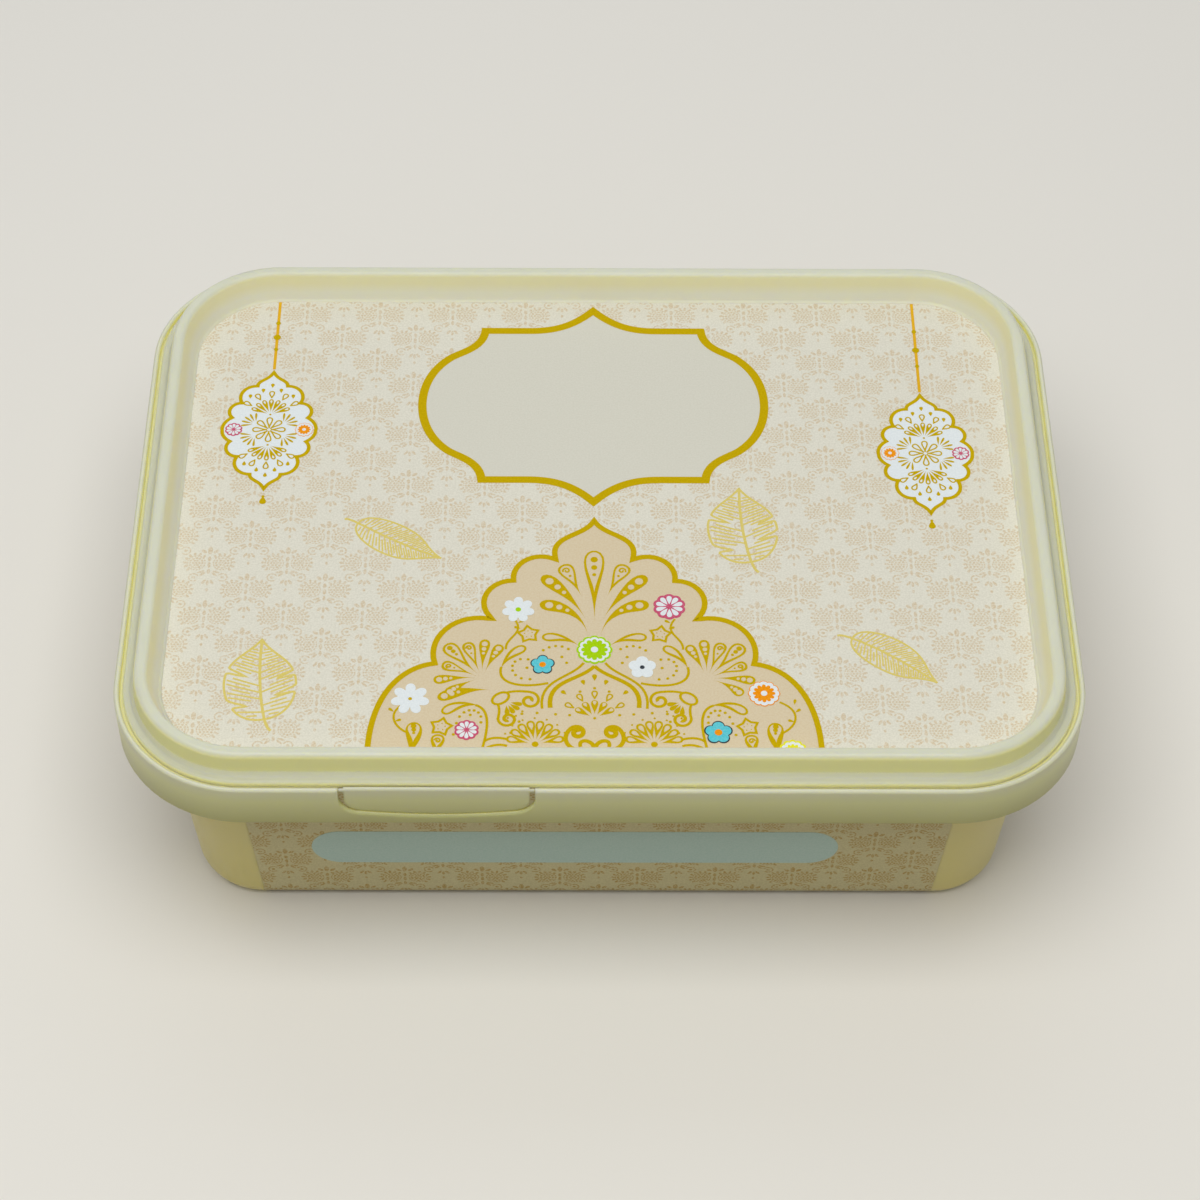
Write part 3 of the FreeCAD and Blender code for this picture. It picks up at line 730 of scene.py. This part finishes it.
def placed(points, at, turn=0.0, flip=False):
    """Mirrors across x if asked, turns by degrees and moves."""
    x, y = np.asarray(points, float).T
    y = -y if flip else y
    cosine, sine = ray(turn)
    return np.column_stack([at[0] + cosine * x - sine * y, at[1] + sine * x + cosine * y])


print("a quarter turn takes x to", np.round(placed([(1, 0)], (0, 0), 90)[0], 3) + 0.0)

# %% [markdown]
# ## From shapes to pieces
# A sheet of shapes that lie on one panel becomes one object with a material for each of its inks. The
# panel is given by a point and three directions: right, up, and out of the film. Where two shapes of one
# layer overlap, their faces would lie in one plane and flicker, so each shape is lifted by a hair more
# than the last.

# %% Print a piece
FILM_TOP = np.array(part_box("lid_label")[1])[2] / MM
LID_PANEL = (np.array([0, 0, FILM_TOP]), np.eye(3))
HAIR, HAIR_STEPS = LAP / 8, 16
GROUND, GOLDWORK, OVER_GOLD, TOPMOST, BLOOM = 1, 2, 3, 4, 5


def line(path, width, layer, ink="gold", closed=False):
    """One inked line."""
    return (*ribbon(path, width, layer, closed), ink)


def fill(outline, layer, ink, middle=None):
    """One inked area."""
    return (*patch(outline, layer, middle), ink)


def print_piece(name, shapes, panel, body):
    """Joins (points, faces, ink) shapes into one mesh on a panel, and lets it ride on the panel's body."""
    origin, axes = panel
    used = sorted({ink for _, _, ink in shapes})
    lifted = [points + (points[:, 2:] > 0) * (0, 0, HAIR * (turn % HAIR_STEPS))
              for turn, (points, _, _) in enumerate(shapes)]
    starts = np.cumsum([0] + [len(points) for points in lifted])
    faces = np.vstack([faces + start for (_, faces, _), start in zip(shapes, starts)])
    slots = np.concatenate([np.full(len(faces), used.index(ink)) for _, faces, ink in shapes])
    mesh = bpy.data.meshes.new(name)
    mesh.from_pydata(((origin + np.vstack(lifted) @ axes) * MM).tolist(), [], faces.tolist())
    for ink in used:
        mesh.materials.append(inks[ink])
    mesh.polygons.foreach_set("material_index", slots.astype(np.int32))
    mesh.update()
    piece = bpy.data.objects.new(name, mesh)
    bpy.context.scene.collection.objects.link(piece)
    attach(piece, body)
    print(f"{name}: {len(faces)} triangles in {len(used)} inks")


print("the lid's film lies at", round(float(FILM_TOP), 2), "mm")

# %% [markdown]
# ## The plaque
# A plain plaque lies at the back of the lid, and it is left bare. Its outline is a common ogee frame:
# straight shoulders that rise to a point, and round sides. One quarter is four cubic curves, and the rest
# is mirrored.

# %% Plaque
PLAQUE_MIDDLE = np.array([-1.1, 29.65])
PLAQUE_EDGE = 1.7
quarter = np.vstack([
    cubic((0, 26.2), (4.4, 21.4), (8.4, 20.4), (13.0, 20.4))[:-1],
    cubic((13.0, 20.4), (16.0, 20.4), (19.0, 20.4), (22.0, 20.4), 4)[:-1],
    cubic((22.0, 20.4), (22.4, 15.2), (27.4, 14.2), (29.2, 12.4))[:-1],
    cubic((29.2, 12.4), (32.9, 9.1), (34.25, 4.4), (34.25, 0.0))])
half_frame = np.vstack([quarter[:-1], quarter[::-1] * (1, -1)])
frame_line = np.vstack([half_frame[:-1], half_frame[::-1][:-1] * (-1, 1)]) + PLAQUE_MIDDLE
plaque = [fill(frame_line, GROUND, "plaque", PLAQUE_MIDDLE),
          line(frame_line, PLAQUE_EDGE, GOLDWORK, closed=True)]
print_piece("print_plaque", plaque, LID_PANEL, "lid")

# %% [markdown]
# ## The scalloped arch
# At the front stands a peach arch with a gold edge of scallops under an ogee point, a form that is common
# on festive sweet boxes. Each scallop is a circular bow between two notches.

# %% Arch
ARCH_X, ARCH_FOOT, ARCH_MIDDLE = -1.0, -58.0, (-1.0, -34.0)
ARCH_EDGE = 1.1
arch_half = np.vstack([
    cubic((0, -1.3), (1.6, -5.6), (9.2, -5.0), (7.3, -11.4), 18)[:-1],
    bow((7.3, -11.4), (15.4, -16.6), 0.32)[:-1],
    bow((15.4, -16.6), (18.9, -26.3), 0.36)[:-1],
    bow((18.9, -26.3), (29.8, -36.8), 0.31, 16)[:-1],
    cubic((29.8, -36.8), (36.8, -37.8), (41.6, -45.4), (41.5, ARCH_FOOT), 18)])
arch_line = np.vstack([arch_half[::-1] * (-1, 1), arch_half[1:]]) + (ARCH_X, 0)
arch = [fill(arch_line, GROUND, "peach", ARCH_MIDDLE), line(arch_line, ARCH_EDGE, OVER_GOLD)]
print_piece("print_arch", arch, LID_PANEL, "lid")

# %% [markdown]
# ## Feathers for the arch
# The arch is filled with the stock of henna and block-print ornament. Most of it is feathers on slim
# stalks: some solid with pale beads, some hollow with a curl or eyes in the hollow.

# %% Feathers
BEADS = ((0.86, 0.27), (0.71, 0.21), (0.58, 0.14))
EYES = ((0.87, 0.18), (0.76, 0.15), (0.66, 0.10))
CURL_WIDTH = 0.36


def feather(root, turn, length, width, curvature=STRAIGHT, sharp=1.6):
    """Teardrop that grows from its root and bends on the way, as a closed path."""
    return placed(bent(teardrop(length, width, sharp), curvature), root, turn)


def feather_with(kind, root, turn, length, width, curvature, sharp=4.0):
    """A gold feather: solid with pale beads, or hollow, with nothing, a curl or eyes in the hollow. Beads
    and eyes are given as shares of the length, for the place, and of the width, for the radius."""
    def inside(points):
        return placed(bent(np.asarray(points, float), curvature), root, turn)

    def spot(share, size, count, layer, ink):
        return fill(circle(inside([[share * length, 0]])[0], size * width, count), layer, ink)

    shapes = [fill(feather(root, turn, length, width, curvature, sharp), GOLDWORK, "gold")]
    if kind == "beads":
        return shapes + [spot(share, size, 14, OVER_GOLD, "peach") for share, size in BEADS]
    hollow = teardrop(0.56 * length, width - 0.95, 2.2) + (0.44 * length - 0.48, 0)
    shapes.append(fill(inside(hollow), OVER_GOLD, "peach"))
    if kind == "curl":
        curl = scroll(0.24 * width, 1.2, 16) + (length - 0.36 * width - 0.55, -0.24 * width)
        shapes.append(line(inside(curl), CURL_WIDTH, TOPMOST))
        shapes.append(spot(0.64, 0.09, 10, TOPMOST, "gold"))
    if kind == "eyes":
        shapes += [spot(share, size, 12, TOPMOST, "gold") for share, size in EYES]
    return shapes


print(len(feather_with("eyes", (0, 0), 0, 9, 3, STRAIGHT)), "shapes in a feather with eyes")

# %% [markdown]
# Three such feathers stand on either side of the middle one, a fan of seven fills each round lobe, and
# two short ones stand at the foot. They are laid out on the right, with the arch's axis at x = 0, and
# mirrored later.

# %% Fans of feathers
LOBE_ROOT, LOBE_GAP = np.array([20.9, -40.3]), 1.3
crown_feathers = (
    ("curl", (2.4, -20.6), 70, 8.8, 3.2, -0.02),
    ("beads", (1.5, -26.4), 67, 14.0, 2.9, -0.038),
    ("beads", (1.2, -30.2), 84, 13.2, 2.8, -0.118))
lobe_feathers = (
    ("beads", 108, 7.4, 2.1, 0.03), ("beads", 89, 8.0, 2.1, 0.02), ("curl", 70, 7.8, 2.5, STRAIGHT),
    ("eyes", 49, 9.4, 3.1, STRAIGHT), ("curl", 27, 7.0, 2.4, -0.02), ("beads", 4, 7.8, 2.1, -0.04),
    ("beads", -17, 6.4, 2.1, -0.09))
half_arch = []
for kind, root, turn, length, width, curvature in crown_feathers:
    half_arch += feather_with(kind, root, turn, length, width, curvature)
for kind, turn, length, width, curvature in lobe_feathers:
    half_arch += feather_with(kind, LOBE_ROOT + ray(turn, LOBE_GAP), turn, length, width, curvature)
half_arch += feather_with("eyes", (33.8, -57.9), 106, 7.4, 3.1, -0.06, 1.6)
half_arch += feather_with("curl", (29.2, -57.9), 102, 4.6, 2.6, -0.04, 1.6)
print(len(half_arch), "shapes in the feathers on the right of the arch")

# %% [markdown]
# ## Stems and scrolls
# Between the feathers run thin lines: a double ogee under the middle flower, loops, scrolls that grow
# from a small oval, an S-scroll and half a heart at the foot, and tendrils that carry the flowers. A line
# tapers, as a brush stroke does.

# %% Stems and scrolls
STEM, SCROLL_TURNS = 0.52, 1.3


def stem(path, start=STEM, end=STEM):
    """A gold line that tapers from its start to its end."""
    return line(path, np.linspace(start, end, len(path)), GOLDWORK)


def curled(run, turn, radius, flip, start=0.50, end=0.72):
    """A line that runs along a path and then winds into a scroll."""
    whole = np.vstack([run[:-1], placed(scroll(radius, SCROLL_TURNS), run[-1], turn, flip)])
    return stem(whole, start, end)


oval = placed(circle((0, 0), 1.0) * (1.75, 1.15), (17.4, -45.0), -38)
half_arch += [
    stem(cubic((2.0, -36.6), (4.4, -40.4), (10.6, -40.4), (9.7, -47.4))),
    stem(cubic((0.0, -37.4), (3.0, -41.0), (9.0, -40.6), (8.2, -47.2)), 0.75, 0.90),
    stem(cubic((8.6, -41.4), (13.0, -42.6), (18.4, -42.0), (17.4, -37.6), 18)),
    stem(cubic((20.8, -57.8), (19.6, -52.6), (18.9, -47.6), (22.0, -46.6), 18)),
    stem(cubic((20.2, -55.0), (19.4, -54.0), (17.2, -53.9), (15.8, -54.6), 8)),
    stem(cubic((20.6, -57.2), (19.4, -55.8), (17.4, -55.4), (16.0, -56.0), 8)),
    curled(cubic((16.4, -43.7), (15.0, -43.2), (13.4, -43.3), (12.0, -43.5), 8), 182, 2.0, False),
    curled(cubic((17.8, -46.6), (17.4, -47.8), (17.7, -49.0), (17.8, -49.8), 8), 270, 1.8, True),
    curled(cubic((0.9, -57.4), (5.6, -57.2), (6.2, -53.9), (4.4, -52.0), 12), 128, 1.5, False, 0.8, 1.0),
    stem(cubic((0.0, -57.3), (-0.2, -54.4), (3.3, -54.0), (2.6, -56.2), 12), 0.9, 0.7),
    stem(cubic((15.2, -26.0), (12.6, -29.6), (16.9, -30.4), (16.6, -33.4)), 0.42, 0.46),
    stem(cubic((34.2, -45.8), (38.2, -47.6), (37.6, -51.2), (34.4, -53.0)), 0.42, 0.46),
    line(oval, STEM, GOLDWORK, closed=True),
]
print(len(half_arch), "shapes with the stems")

# %% [markdown]
# ## Dots and stars
# Hollow feathers end the loops, rows of dots follow them, and two small stars stand in the gaps.

# %% Dots and stars
DOT = 0.31


def dots(path, size=DOT):
    """A row of gold dots at the points of a path."""
    return [fill(circle(spot, size, 10), GOLDWORK, "gold") for spot in path]


half_arch += feather_with("hollow", (17.5, -38.2), 104, 7.4, 2.1, 0.13, 2.4)
half_arch += feather_with("hollow", (3.0, -32.4), 42, 7.4, 2.1, -0.13, 2.4)
half_arch += feather_with("hollow", (21.0, -46.9), 24, 7.8, 2.2, -0.17, 2.4)
half_arch += dots(cubic((4.9, -33.3), (6.4, -32.2), (8.2, -32.4), (9.6, -33.6), 5))
half_arch += dots(cubic((12.4, -35.8), (16.4, -34.8), (16.4, -40.8), (12.0, -40.5), 8))
half_arch += dots(cubic((20.9, -50.6), (20.4, -47.0), (24.6, -46.6), (25.4, -50.8), 8))
half_arch += dots([(5.2, -36.6), (6.1, -35.2), (12.6, -37.8), (22.9, -48.9), (10.6, -48.4), (13.4, -48.6),
                   (15.4, -53.0), (7.2, -48.7), (4.6, -48.9), (25.9, -53.4), (13.9, -50.4)])
for spot, turn in (((12.4, -29.7), 10), ((28.2, -51.6), 30)):
    half_arch.append(line(star(spot, 2.0, turn), 0.48, GOLDWORK, closed=True))
    half_arch += dots(star(spot, 0.75, turn)[::2], 0.13)
print(len(half_arch), "shapes with the dots and stars")

# %% [markdown]
# ## Wedges and leaflets
# A short row of wedges hangs from the oval, a half rosette of eight wedges stands at the foot, and
# leaflets sit on the tendrils. All that stands on the right is then mirrored about the arch's axis.

# %% Wedges and leaflets
OVAL_FOOT, ROSETTE_FOOT = np.array([16.4, -45.8]), np.array([10.9, -55.6])
for turn in (192, 216, 240, 264):
    half_arch.append(fill(feather(OVAL_FOOT + ray(turn, 0.9), turn, 2.2, 0.95), GOLDWORK, "gold"))
    half_arch += dots([OVAL_FOOT + ray(turn, 3.8)], 0.24)
for turn in np.linspace(14, 166, 8):
    wedge = feather(ROSETTE_FOOT + ray(turn, 1.1), turn, 4.4, 1.6, STRAIGHT, 2.6)
    half_arch.append(fill(wedge, GOLDWORK, "gold"))
    half_arch.append(fill(feather(ROSETTE_FOOT + ray(turn, 3.3), turn, 1.7, 0.85), OVER_GOLD, "peach"))
    half_arch += dots([ROSETTE_FOOT + ray(turn, 4.4)], 0.24)
    half_arch += dots([ROSETTE_FOOT + ray(turn + 9.5, 6.0)], 0.22)
half_arch += dots([ROSETTE_FOOT], 0.65)
leaflets = (((14.4, -27.0), 150), ((13.9, -28.4), 20), ((37.0, -48.2), 40), ((36.8, -50.4), 160),
            ((36.9, -46.4), 80))
for root, turn in leaflets:
    half_arch.append(fill(feather(root, turn, 1.3, 0.6), GOLDWORK, "gold"))
for spot in ((1.9, -41.9), (5.2, -44.1)):
    half_arch.append(fill(placed(teardrop(1.3, 0.85), spot, 90 - 9 * spot[0]), GOLDWORK, "gold"))
mirrored = [(points * (-1, 1, 1), faces[:, ::-1], ink) for points, faces, ink in half_arch]
print(len(half_arch), "shapes on the right of the arch")

# %% [markdown]
# ## The middle of the arch
# What is not mirrored: one tall feather under the point, a small fan under the ogee lines, and a beaded
# feather that stands on the left only.

# %% Arch middle
FAN_ROOT = np.array([0, -49.6])
middle = feather_with("eyes", (0, -27.0), 90, 18.0, 4.0, STRAIGHT)
middle += feather_with("beads", (-19.6, -43.0), 176, 9.8, 2.4, 0.06, 2.6)
for turn in (90, 61, 119, 32, 148):
    petal = feather(FAN_ROOT + ray(turn, 0.9), turn, 3.3, 1.35, STRAIGHT, 2.4)
    middle.append(fill(petal, GOLDWORK, "gold"))
    middle.append(fill(feather(FAN_ROOT + ray(turn, 3.0), turn, 1.0, 0.65), OVER_GOLD, "peach"))
    middle.append(line(feather(FAN_ROOT + ray(turn, 4.6), turn, 1.7, 0.95), 0.32, GOLDWORK, closed=True))
middle += dots([FAN_ROOT, (0, -42.6), (2.7, -43.4), (-2.7, -43.4)], 0.30)
middle.append(fill(placed(teardrop(1.6, 0.95), (0, -40.9), 90), GOLDWORK, "gold"))
ornament = [(points + (ARCH_X, 0, 0), faces, ink) for points, faces, ink in half_arch + mirrored + middle]
print_piece("print_arch_ornament", ornament, LID_PANEL, "lid")

# %% [markdown]
# ## Kinds of flower
# Small paper-cut flowers lie over the gold, in three kinds: a stack of scalloped discs from the outer ink
# inwards, a daisy with separate petals, and a flower of five round petals with a dark rim or none.

# %% Kinds of flower
def flower(at, radius, petals, layers, base_layer=BLOOM):
    """Scalloped discs, from the outside in: (share of the radius, depth of the petals, ink). What would lie
    past the front edge of the film is pushed back to it."""
    shapes = []
    for step, (share, depth, ink) in enumerate(layers):
        outline = scalloped(at, share * radius, petals, depth, math.pi / 2)
        outline = np.maximum(outline, (-100, ARCH_FOOT))
        shapes.append(fill(outline, base_layer + step, ink, at))
    return shapes


def daisy(at, radius, petals, base_layer=BLOOM):
    """A rose disc with separate white petals and a rose eye."""
    shapes = flower(at, radius, petals, [(1.0, 0.12, "rose")], base_layer)
    for turn in 90 + np.arange(petals) * 360 / petals:
        petal = feather(np.array(at) + ray(turn, 0.16 * radius), turn, 0.68 * radius, 0.32 * radius)
        shapes.append(fill(petal, base_layer + 1, "white"))
    return shapes + [fill(circle(at, 0.19 * radius, 14), base_layer + 2, "rose")]


def five_petals(at, radius, petal, rim, eye, base_layer=BLOOM):
    """Five round petals, with a dark rim behind them if asked, and an eye."""
    shapes = []
    for turn in 90 + np.arange(5) * 72:
        spot = np.array(at) + ray(turn, 0.58 * radius)
        if rim:
            shapes.append(fill(circle(spot, 0.46 * radius, 18), base_layer, rim))
        inner = circle(spot + ray(turn, -0.05 * radius), 0.41 * radius, 18)
        shapes.append(fill(inner, base_layer + 1, petal))
    shapes.append(fill(circle(at, 0.40 * radius, 18), base_layer + 2, petal))
    return shapes + [fill(circle(at, eye[0] * radius, 14), base_layer + 3, eye[1])]


print(len(daisy((0, 0), 1.0, 10)), "shapes in a daisy")

# %% [markdown]
# Ten of them are scattered over the arch, so they are not mirrored: a green one in the middle, white,
# blue and orange ones and daisies round it, and a yellow one that the film's front edge cuts.

# %% Flowers on the arch
edged = {
    "green": [(1.0, 0.10, "green"), (0.88, 0.10, "white"), (0.74, 0.24, "green"), (0.20, 0, "white")],
    "orange": [(1.0, 0.10, "orange"), (0.94, 0.10, "white"), (0.70, 0.26, "orange"), (0.20, 0, "white")],
    "yellow": [(1.0, 0.14, "yellow"), (0.84, 0.12, "white"), (0.62, 0.24, "yellow")],
}
posy = flower((-1.0, -33.5), 3.4, 12, edged["green"])
posy += flower((-15.4, -23.8), 3.1, 7, [(1.0, 0.40, "white"), (0.17, 0, "green")])
posy += flower((-35.1, -45.2), 3.6, 7, [(1.0, 0.48, "white"), (0.10, 0, "gold")])
posy += five_petals((7.9, -37.7), 2.8, "white", None, (0.16, "slate"))
posy += five_petals((-10.7, -37.1), 2.25, "blue", "slate", (0.28, "orange"))
posy += five_petals((21.7, -52.9), 2.6, "blue", "slate", (0.28, "orange"))
posy += daisy((13.2, -23.0), 3.1, 10) + daisy((-24.5, -52.4), 2.3, 10)
posy += flower((30.4, -43.8), 3.0, 12, edged["orange"]) + flower((35.2, -57.2), 2.7, 12, edged["yellow"])
print_piece("print_flowers", posy, LID_PANEL, "lid")

# %% [markdown]
# ## Hanging pendants
# On either side a lamp-shaped pendant hangs by a beaded chain: white, with a scalloped gold edge. The
# outline is an ogee point and three bows, mirrored twice. The last bow crosses the middle line, so half
# of it is left off before the mirroring.

# %% Outline of a pendant
HALF_BOW = 6
pendant_half = np.vstack([
    cubic((0, 15.9), (0.7, 13.5), (3.1, 13.6), (3.0, 11.9), 12)[:-1],
    bow((3.0, 11.9), (5.8, 7.2), 0.30)[:-1],
    bow((5.8, 7.2), (7.5, 3.2), 0.34)[:-1],
    bow((7.5, 3.2), (7.5, -3.2), 0.29)])
upper_side = pendant_half[:-HALF_BOW]
pendant_side = np.vstack([upper_side, upper_side[::-1][1:] * (1, -1)])
pendant_line = np.vstack([pendant_side[:-1], pendant_side[::-1][:-1] * (-1, 1)])
print("a pendant is", np.round(np.ptp(pendant_line, axis=0), 1), "mm")

# %% [markdown]
# On the white stands a rosette of eight hollow petals with a sprig in each corner. Fans of wedges, hollow
# drops and small drops spread above and below it. The fans are drawn for one side and repeated with the
# other sign.

# %% Ornament of a pendant
CHAIN_TOP, FINE = 58.15, 0.30


def pendant_fan(at, side):
    """Wedges with a white slit, hollow drops and small drops: above the rosette for side 1, below for -1."""
    root = at + (0, side * 4.1)
    shapes = dots([root], 0.24)
    for turn in side * 90 + np.linspace(-66, 66, 7):
        wedge = feather(root + ray(turn, 0.6), turn, 3.6, 1.0, STRAIGHT, 2.6)
        shapes.append(fill(wedge, GOLDWORK, "gold"))
        shapes.append(fill(feather(root + ray(turn, 3.0), turn, 0.85, 0.42), OVER_GOLD, "white"))
    for turn in side * 90 + np.linspace(-58, 58, 5):
        drop = feather(root + ray(turn, 4.6), turn, 1.7, 0.95)
        shapes.append(line(drop, FINE, GOLDWORK, closed=True))
    for x, y in ((0, 11.4), (1.8, 10.0), (-1.8, 10.0), (4.3, 8.4), (-4.3, 8.4)):
        shapes.append(fill(feather(at + (x, side * y), side * 90, 1.2, 0.75), GOLDWORK, "gold"))
    return shapes


def sprig(at, hand, side):
    """Five slim leaves that spread from one corner of the rosette, to the right or left and up or down."""
    shapes = []
    for lean in (-8, 16, 40, 64, 88):
        tip = ray(lean, 1.0) * (hand, side)
        turn = math.degrees(math.atan2(tip[1], tip[0]))
        root = at + (hand * 2.7, side * 1.5) + 0.7 * tip
        shapes.append(fill(feather(root, turn, 2.3, 0.46), GOLDWORK, "gold"))
    return shapes


print(len(pendant_fan(np.zeros(2), 1)), "shapes in a fan of a pendant")

# %% [markdown]
# A whole pendant is its outline, chain and drop, the rosette, two fans and four sprigs, and a flower on
# either side. The two on the lid hang at different heights and have their flowers the other way round.

# %% Pendants
def pendant(at, flowers):
    """One pendant with its chain, its drop, its ornament and a flower on either side."""
    outline = pendant_line + at
    shapes = [fill(outline, GROUND, "white", at), line(outline, 0.75, GOLDWORK, closed=True)]
    chain = np.array([at + (0, 16.6), (at[0] + 0.05, CHAIN_TOP)])
    shapes.append(line(chain, 0.60, GOLDWORK, "amber"))
    for share, size in ((0.29, 0.45), (0.47, 0.75), (0.68, 0.50)):
        shapes.append(fill(circle(chain[0] + share * (chain[1] - chain[0]), size), OVER_GOLD, "gold"))
    shapes += dots([at + (0, -17.7)], 0.32)
    shapes.append(fill(feather(at + (0, -17.6), -90, 2.1, 1.35), GOLDWORK, "gold"))
    for turn in np.arange(8) * 45 + 90:
        petal = feather(at + ray(turn, 0.5), turn, 2.7, 1.05, STRAIGHT, 2.6)
        shapes.append(line(petal, FINE, GOLDWORK, closed=True))
    for side in (1, -1):
        shapes += pendant_fan(at, side) + sprig(at, 1, side) + sprig(at, -1, side)
    for hand, kind in zip((-1, 1), flowers):
        spot = tuple(at + (hand * 7.0, 0))
        if kind == "daisy":
            shapes += daisy(spot, 1.75, 10, OVER_GOLD)
        else:
            shapes += flower(spot, 1.85, 12, edged[kind], OVER_GOLD)
    return shapes


print_piece("print_left_pendant", pendant(np.array([-65.6, 22.4]), ("daisy", "orange")), LID_PANEL, "lid")
print_piece("print_right_pendant", pendant(np.array([64.6, 16.5]), ("orange", "daisy")), LID_PANEL, "lid")

# %% [markdown]
# ## Line-drawn leaves
# Four leaves are drawn in pale gold lines only: slim ones with many close veins, and broad ones with
# fewer and with slits in their edge. A leaf lies along x. Its half width is the sine of the way along,
# times a power of a cosine that draws the tip out. A vein starts at the midrib, and everything off the
# midrib is pushed ahead, so the veins slant.

# %% Shape of a leaf
SLIT_WIDTH, SLIT_MARGIN = 0.018, 0.026


def leaf(length, width, pointed, veins, slits, lean, stroke):
    """Outline, midrib with a stalk, and veins, as (path, width, closed) at the origin along x. The share
    along is (1 - cos t) / 2, and the half width goes with sin t times a power of cos(t/2). What lies off the
    midrib is pushed ahead by lean times its distance, most in the middle of the leaf. A slit is given as a
    share along and a depth."""
    def edge(share, cuts):
        t = np.arccos(1 - 2 * share)
        notch = sum(depth * np.exp(-((share - cut) / SLIT_WIDTH) ** 2) for cut, depth in cuts)
        return width / 2 * np.sin(t) * np.cos(t / 2) ** pointed * (1 + 0.27 * pointed) * (1 - notch)

    def slanted(x, y):
        share = x / length
        return np.column_stack([x + lean * np.abs(y) * 4 * share * (1 - share), y])

    share = (1 - np.cos(np.linspace(0, math.pi, 120))) / 2
    sides = [slanted(length * share, hand * edge(share, cuts)) for hand, cuts in zip((1, -1), slits)]
    stalk = cubic((-0.15 * length, -0.05 * length), (-0.1 * length, 0), (0, 0), (length, 0), 12)
    paths = [(np.vstack([sides[0][:-1], sides[1][::-1][:-1]]), stroke, True), (stalk, 1.2 * stroke, False)]
    for hand, cuts in zip((1, -1), slits):
        for turn, start in enumerate(np.linspace(0.05, 0.86, veins)):
            if min([abs(start - cut) for cut, _ in cuts], default=1.0) > SLIT_MARGIN:
                first = 0.03 if turn % 2 else 0.28
                last = 0.93 if turn % 3 else 0.78
                reach = np.linspace(first, last, 6) * float(edge(np.array(start), cuts))
                paths.append((slanted(np.full(6, length * start), hand * reach), 0.75 * stroke, False))
    return paths


slim = leaf(18.6, 7.8, 1.5, 27, ((), ()), 0.8, 0.40)
broad = leaf(19.0, 13.6, 1.3, 21, (((0.15, 0.55), (0.48, 0.66)), ((0.24, 0.64), (0.42, 0.55))), 0.45, 0.46)
print(len(slim), "lines in a slim leaf and", len(broad), "in a broad one")

# %% [markdown]
# Each kind of leaf is used twice. It is bent a little along its length, so that it doesn't look stiff,
# then turned and moved.

# %% Leaves
LEAF_BEND = 0.012


def drawn(paths, at, turn, curvature):
    """The leaf's lines, bent a little along their length and put in place."""
    return [line(placed(bent(path, curvature), at, turn), width, GROUND, "pale_gold", closed)
            for path, width, closed in paths]


leaves = drawn(slim, (-46.6, -2.0), -35.5, LEAF_BEND)
leaves += drawn(slim, (47.6, -30.4), -29, -LEAF_BEND)
leaves += drawn(broad, (29.0, -11.8), 101.5, -LEAF_BEND)
leaves += drawn(broad, (-61.9, -50.0), 101, -LEAF_BEND)
print_piece("print_leaves", leaves, LID_PANEL, "lid")

# %% [markdown]
# ## The bare band on the front
# The front wall's film has a pale blue band with round ends, left bare. It lies on the wall, so its panel
# leans with the wall's draft of 4.75 degrees: up the wall is also a little outwards. At the foot, the
# wall stands further in than the rim, which is as far out as the whole tub.

# %% Front band
draft = math.radians(4.75)
rim_front, foot_inset = -67.0, 11.7
wall_axes = np.array([[1, 0, 0],
                      [0, -math.sin(draft), math.cos(draft)],
                      [0, -math.cos(draft), -math.sin(draft)]])
FRONT_PANEL = (np.array([0, rim_front + foot_inset, 0]), wall_axes)
band_low, band_high = 13.5, 25.0
band_left, band_right = -54.6, 45.5
round_end = (band_high - band_low) / 2
end_turn = np.linspace(-math.pi / 2, math.pi / 2, 24)
end_arc = np.column_stack([np.cos(end_turn), np.sin(end_turn)]) * round_end
band_line = np.vstack([end_arc + (band_right - round_end, band_low + round_end),
                       -end_arc + (band_left + round_end, band_low + round_end)])
band_layer = 2
print_piece("print_front_band", [fill(band_line, band_layer, "mist")], FRONT_PANEL, "tub")
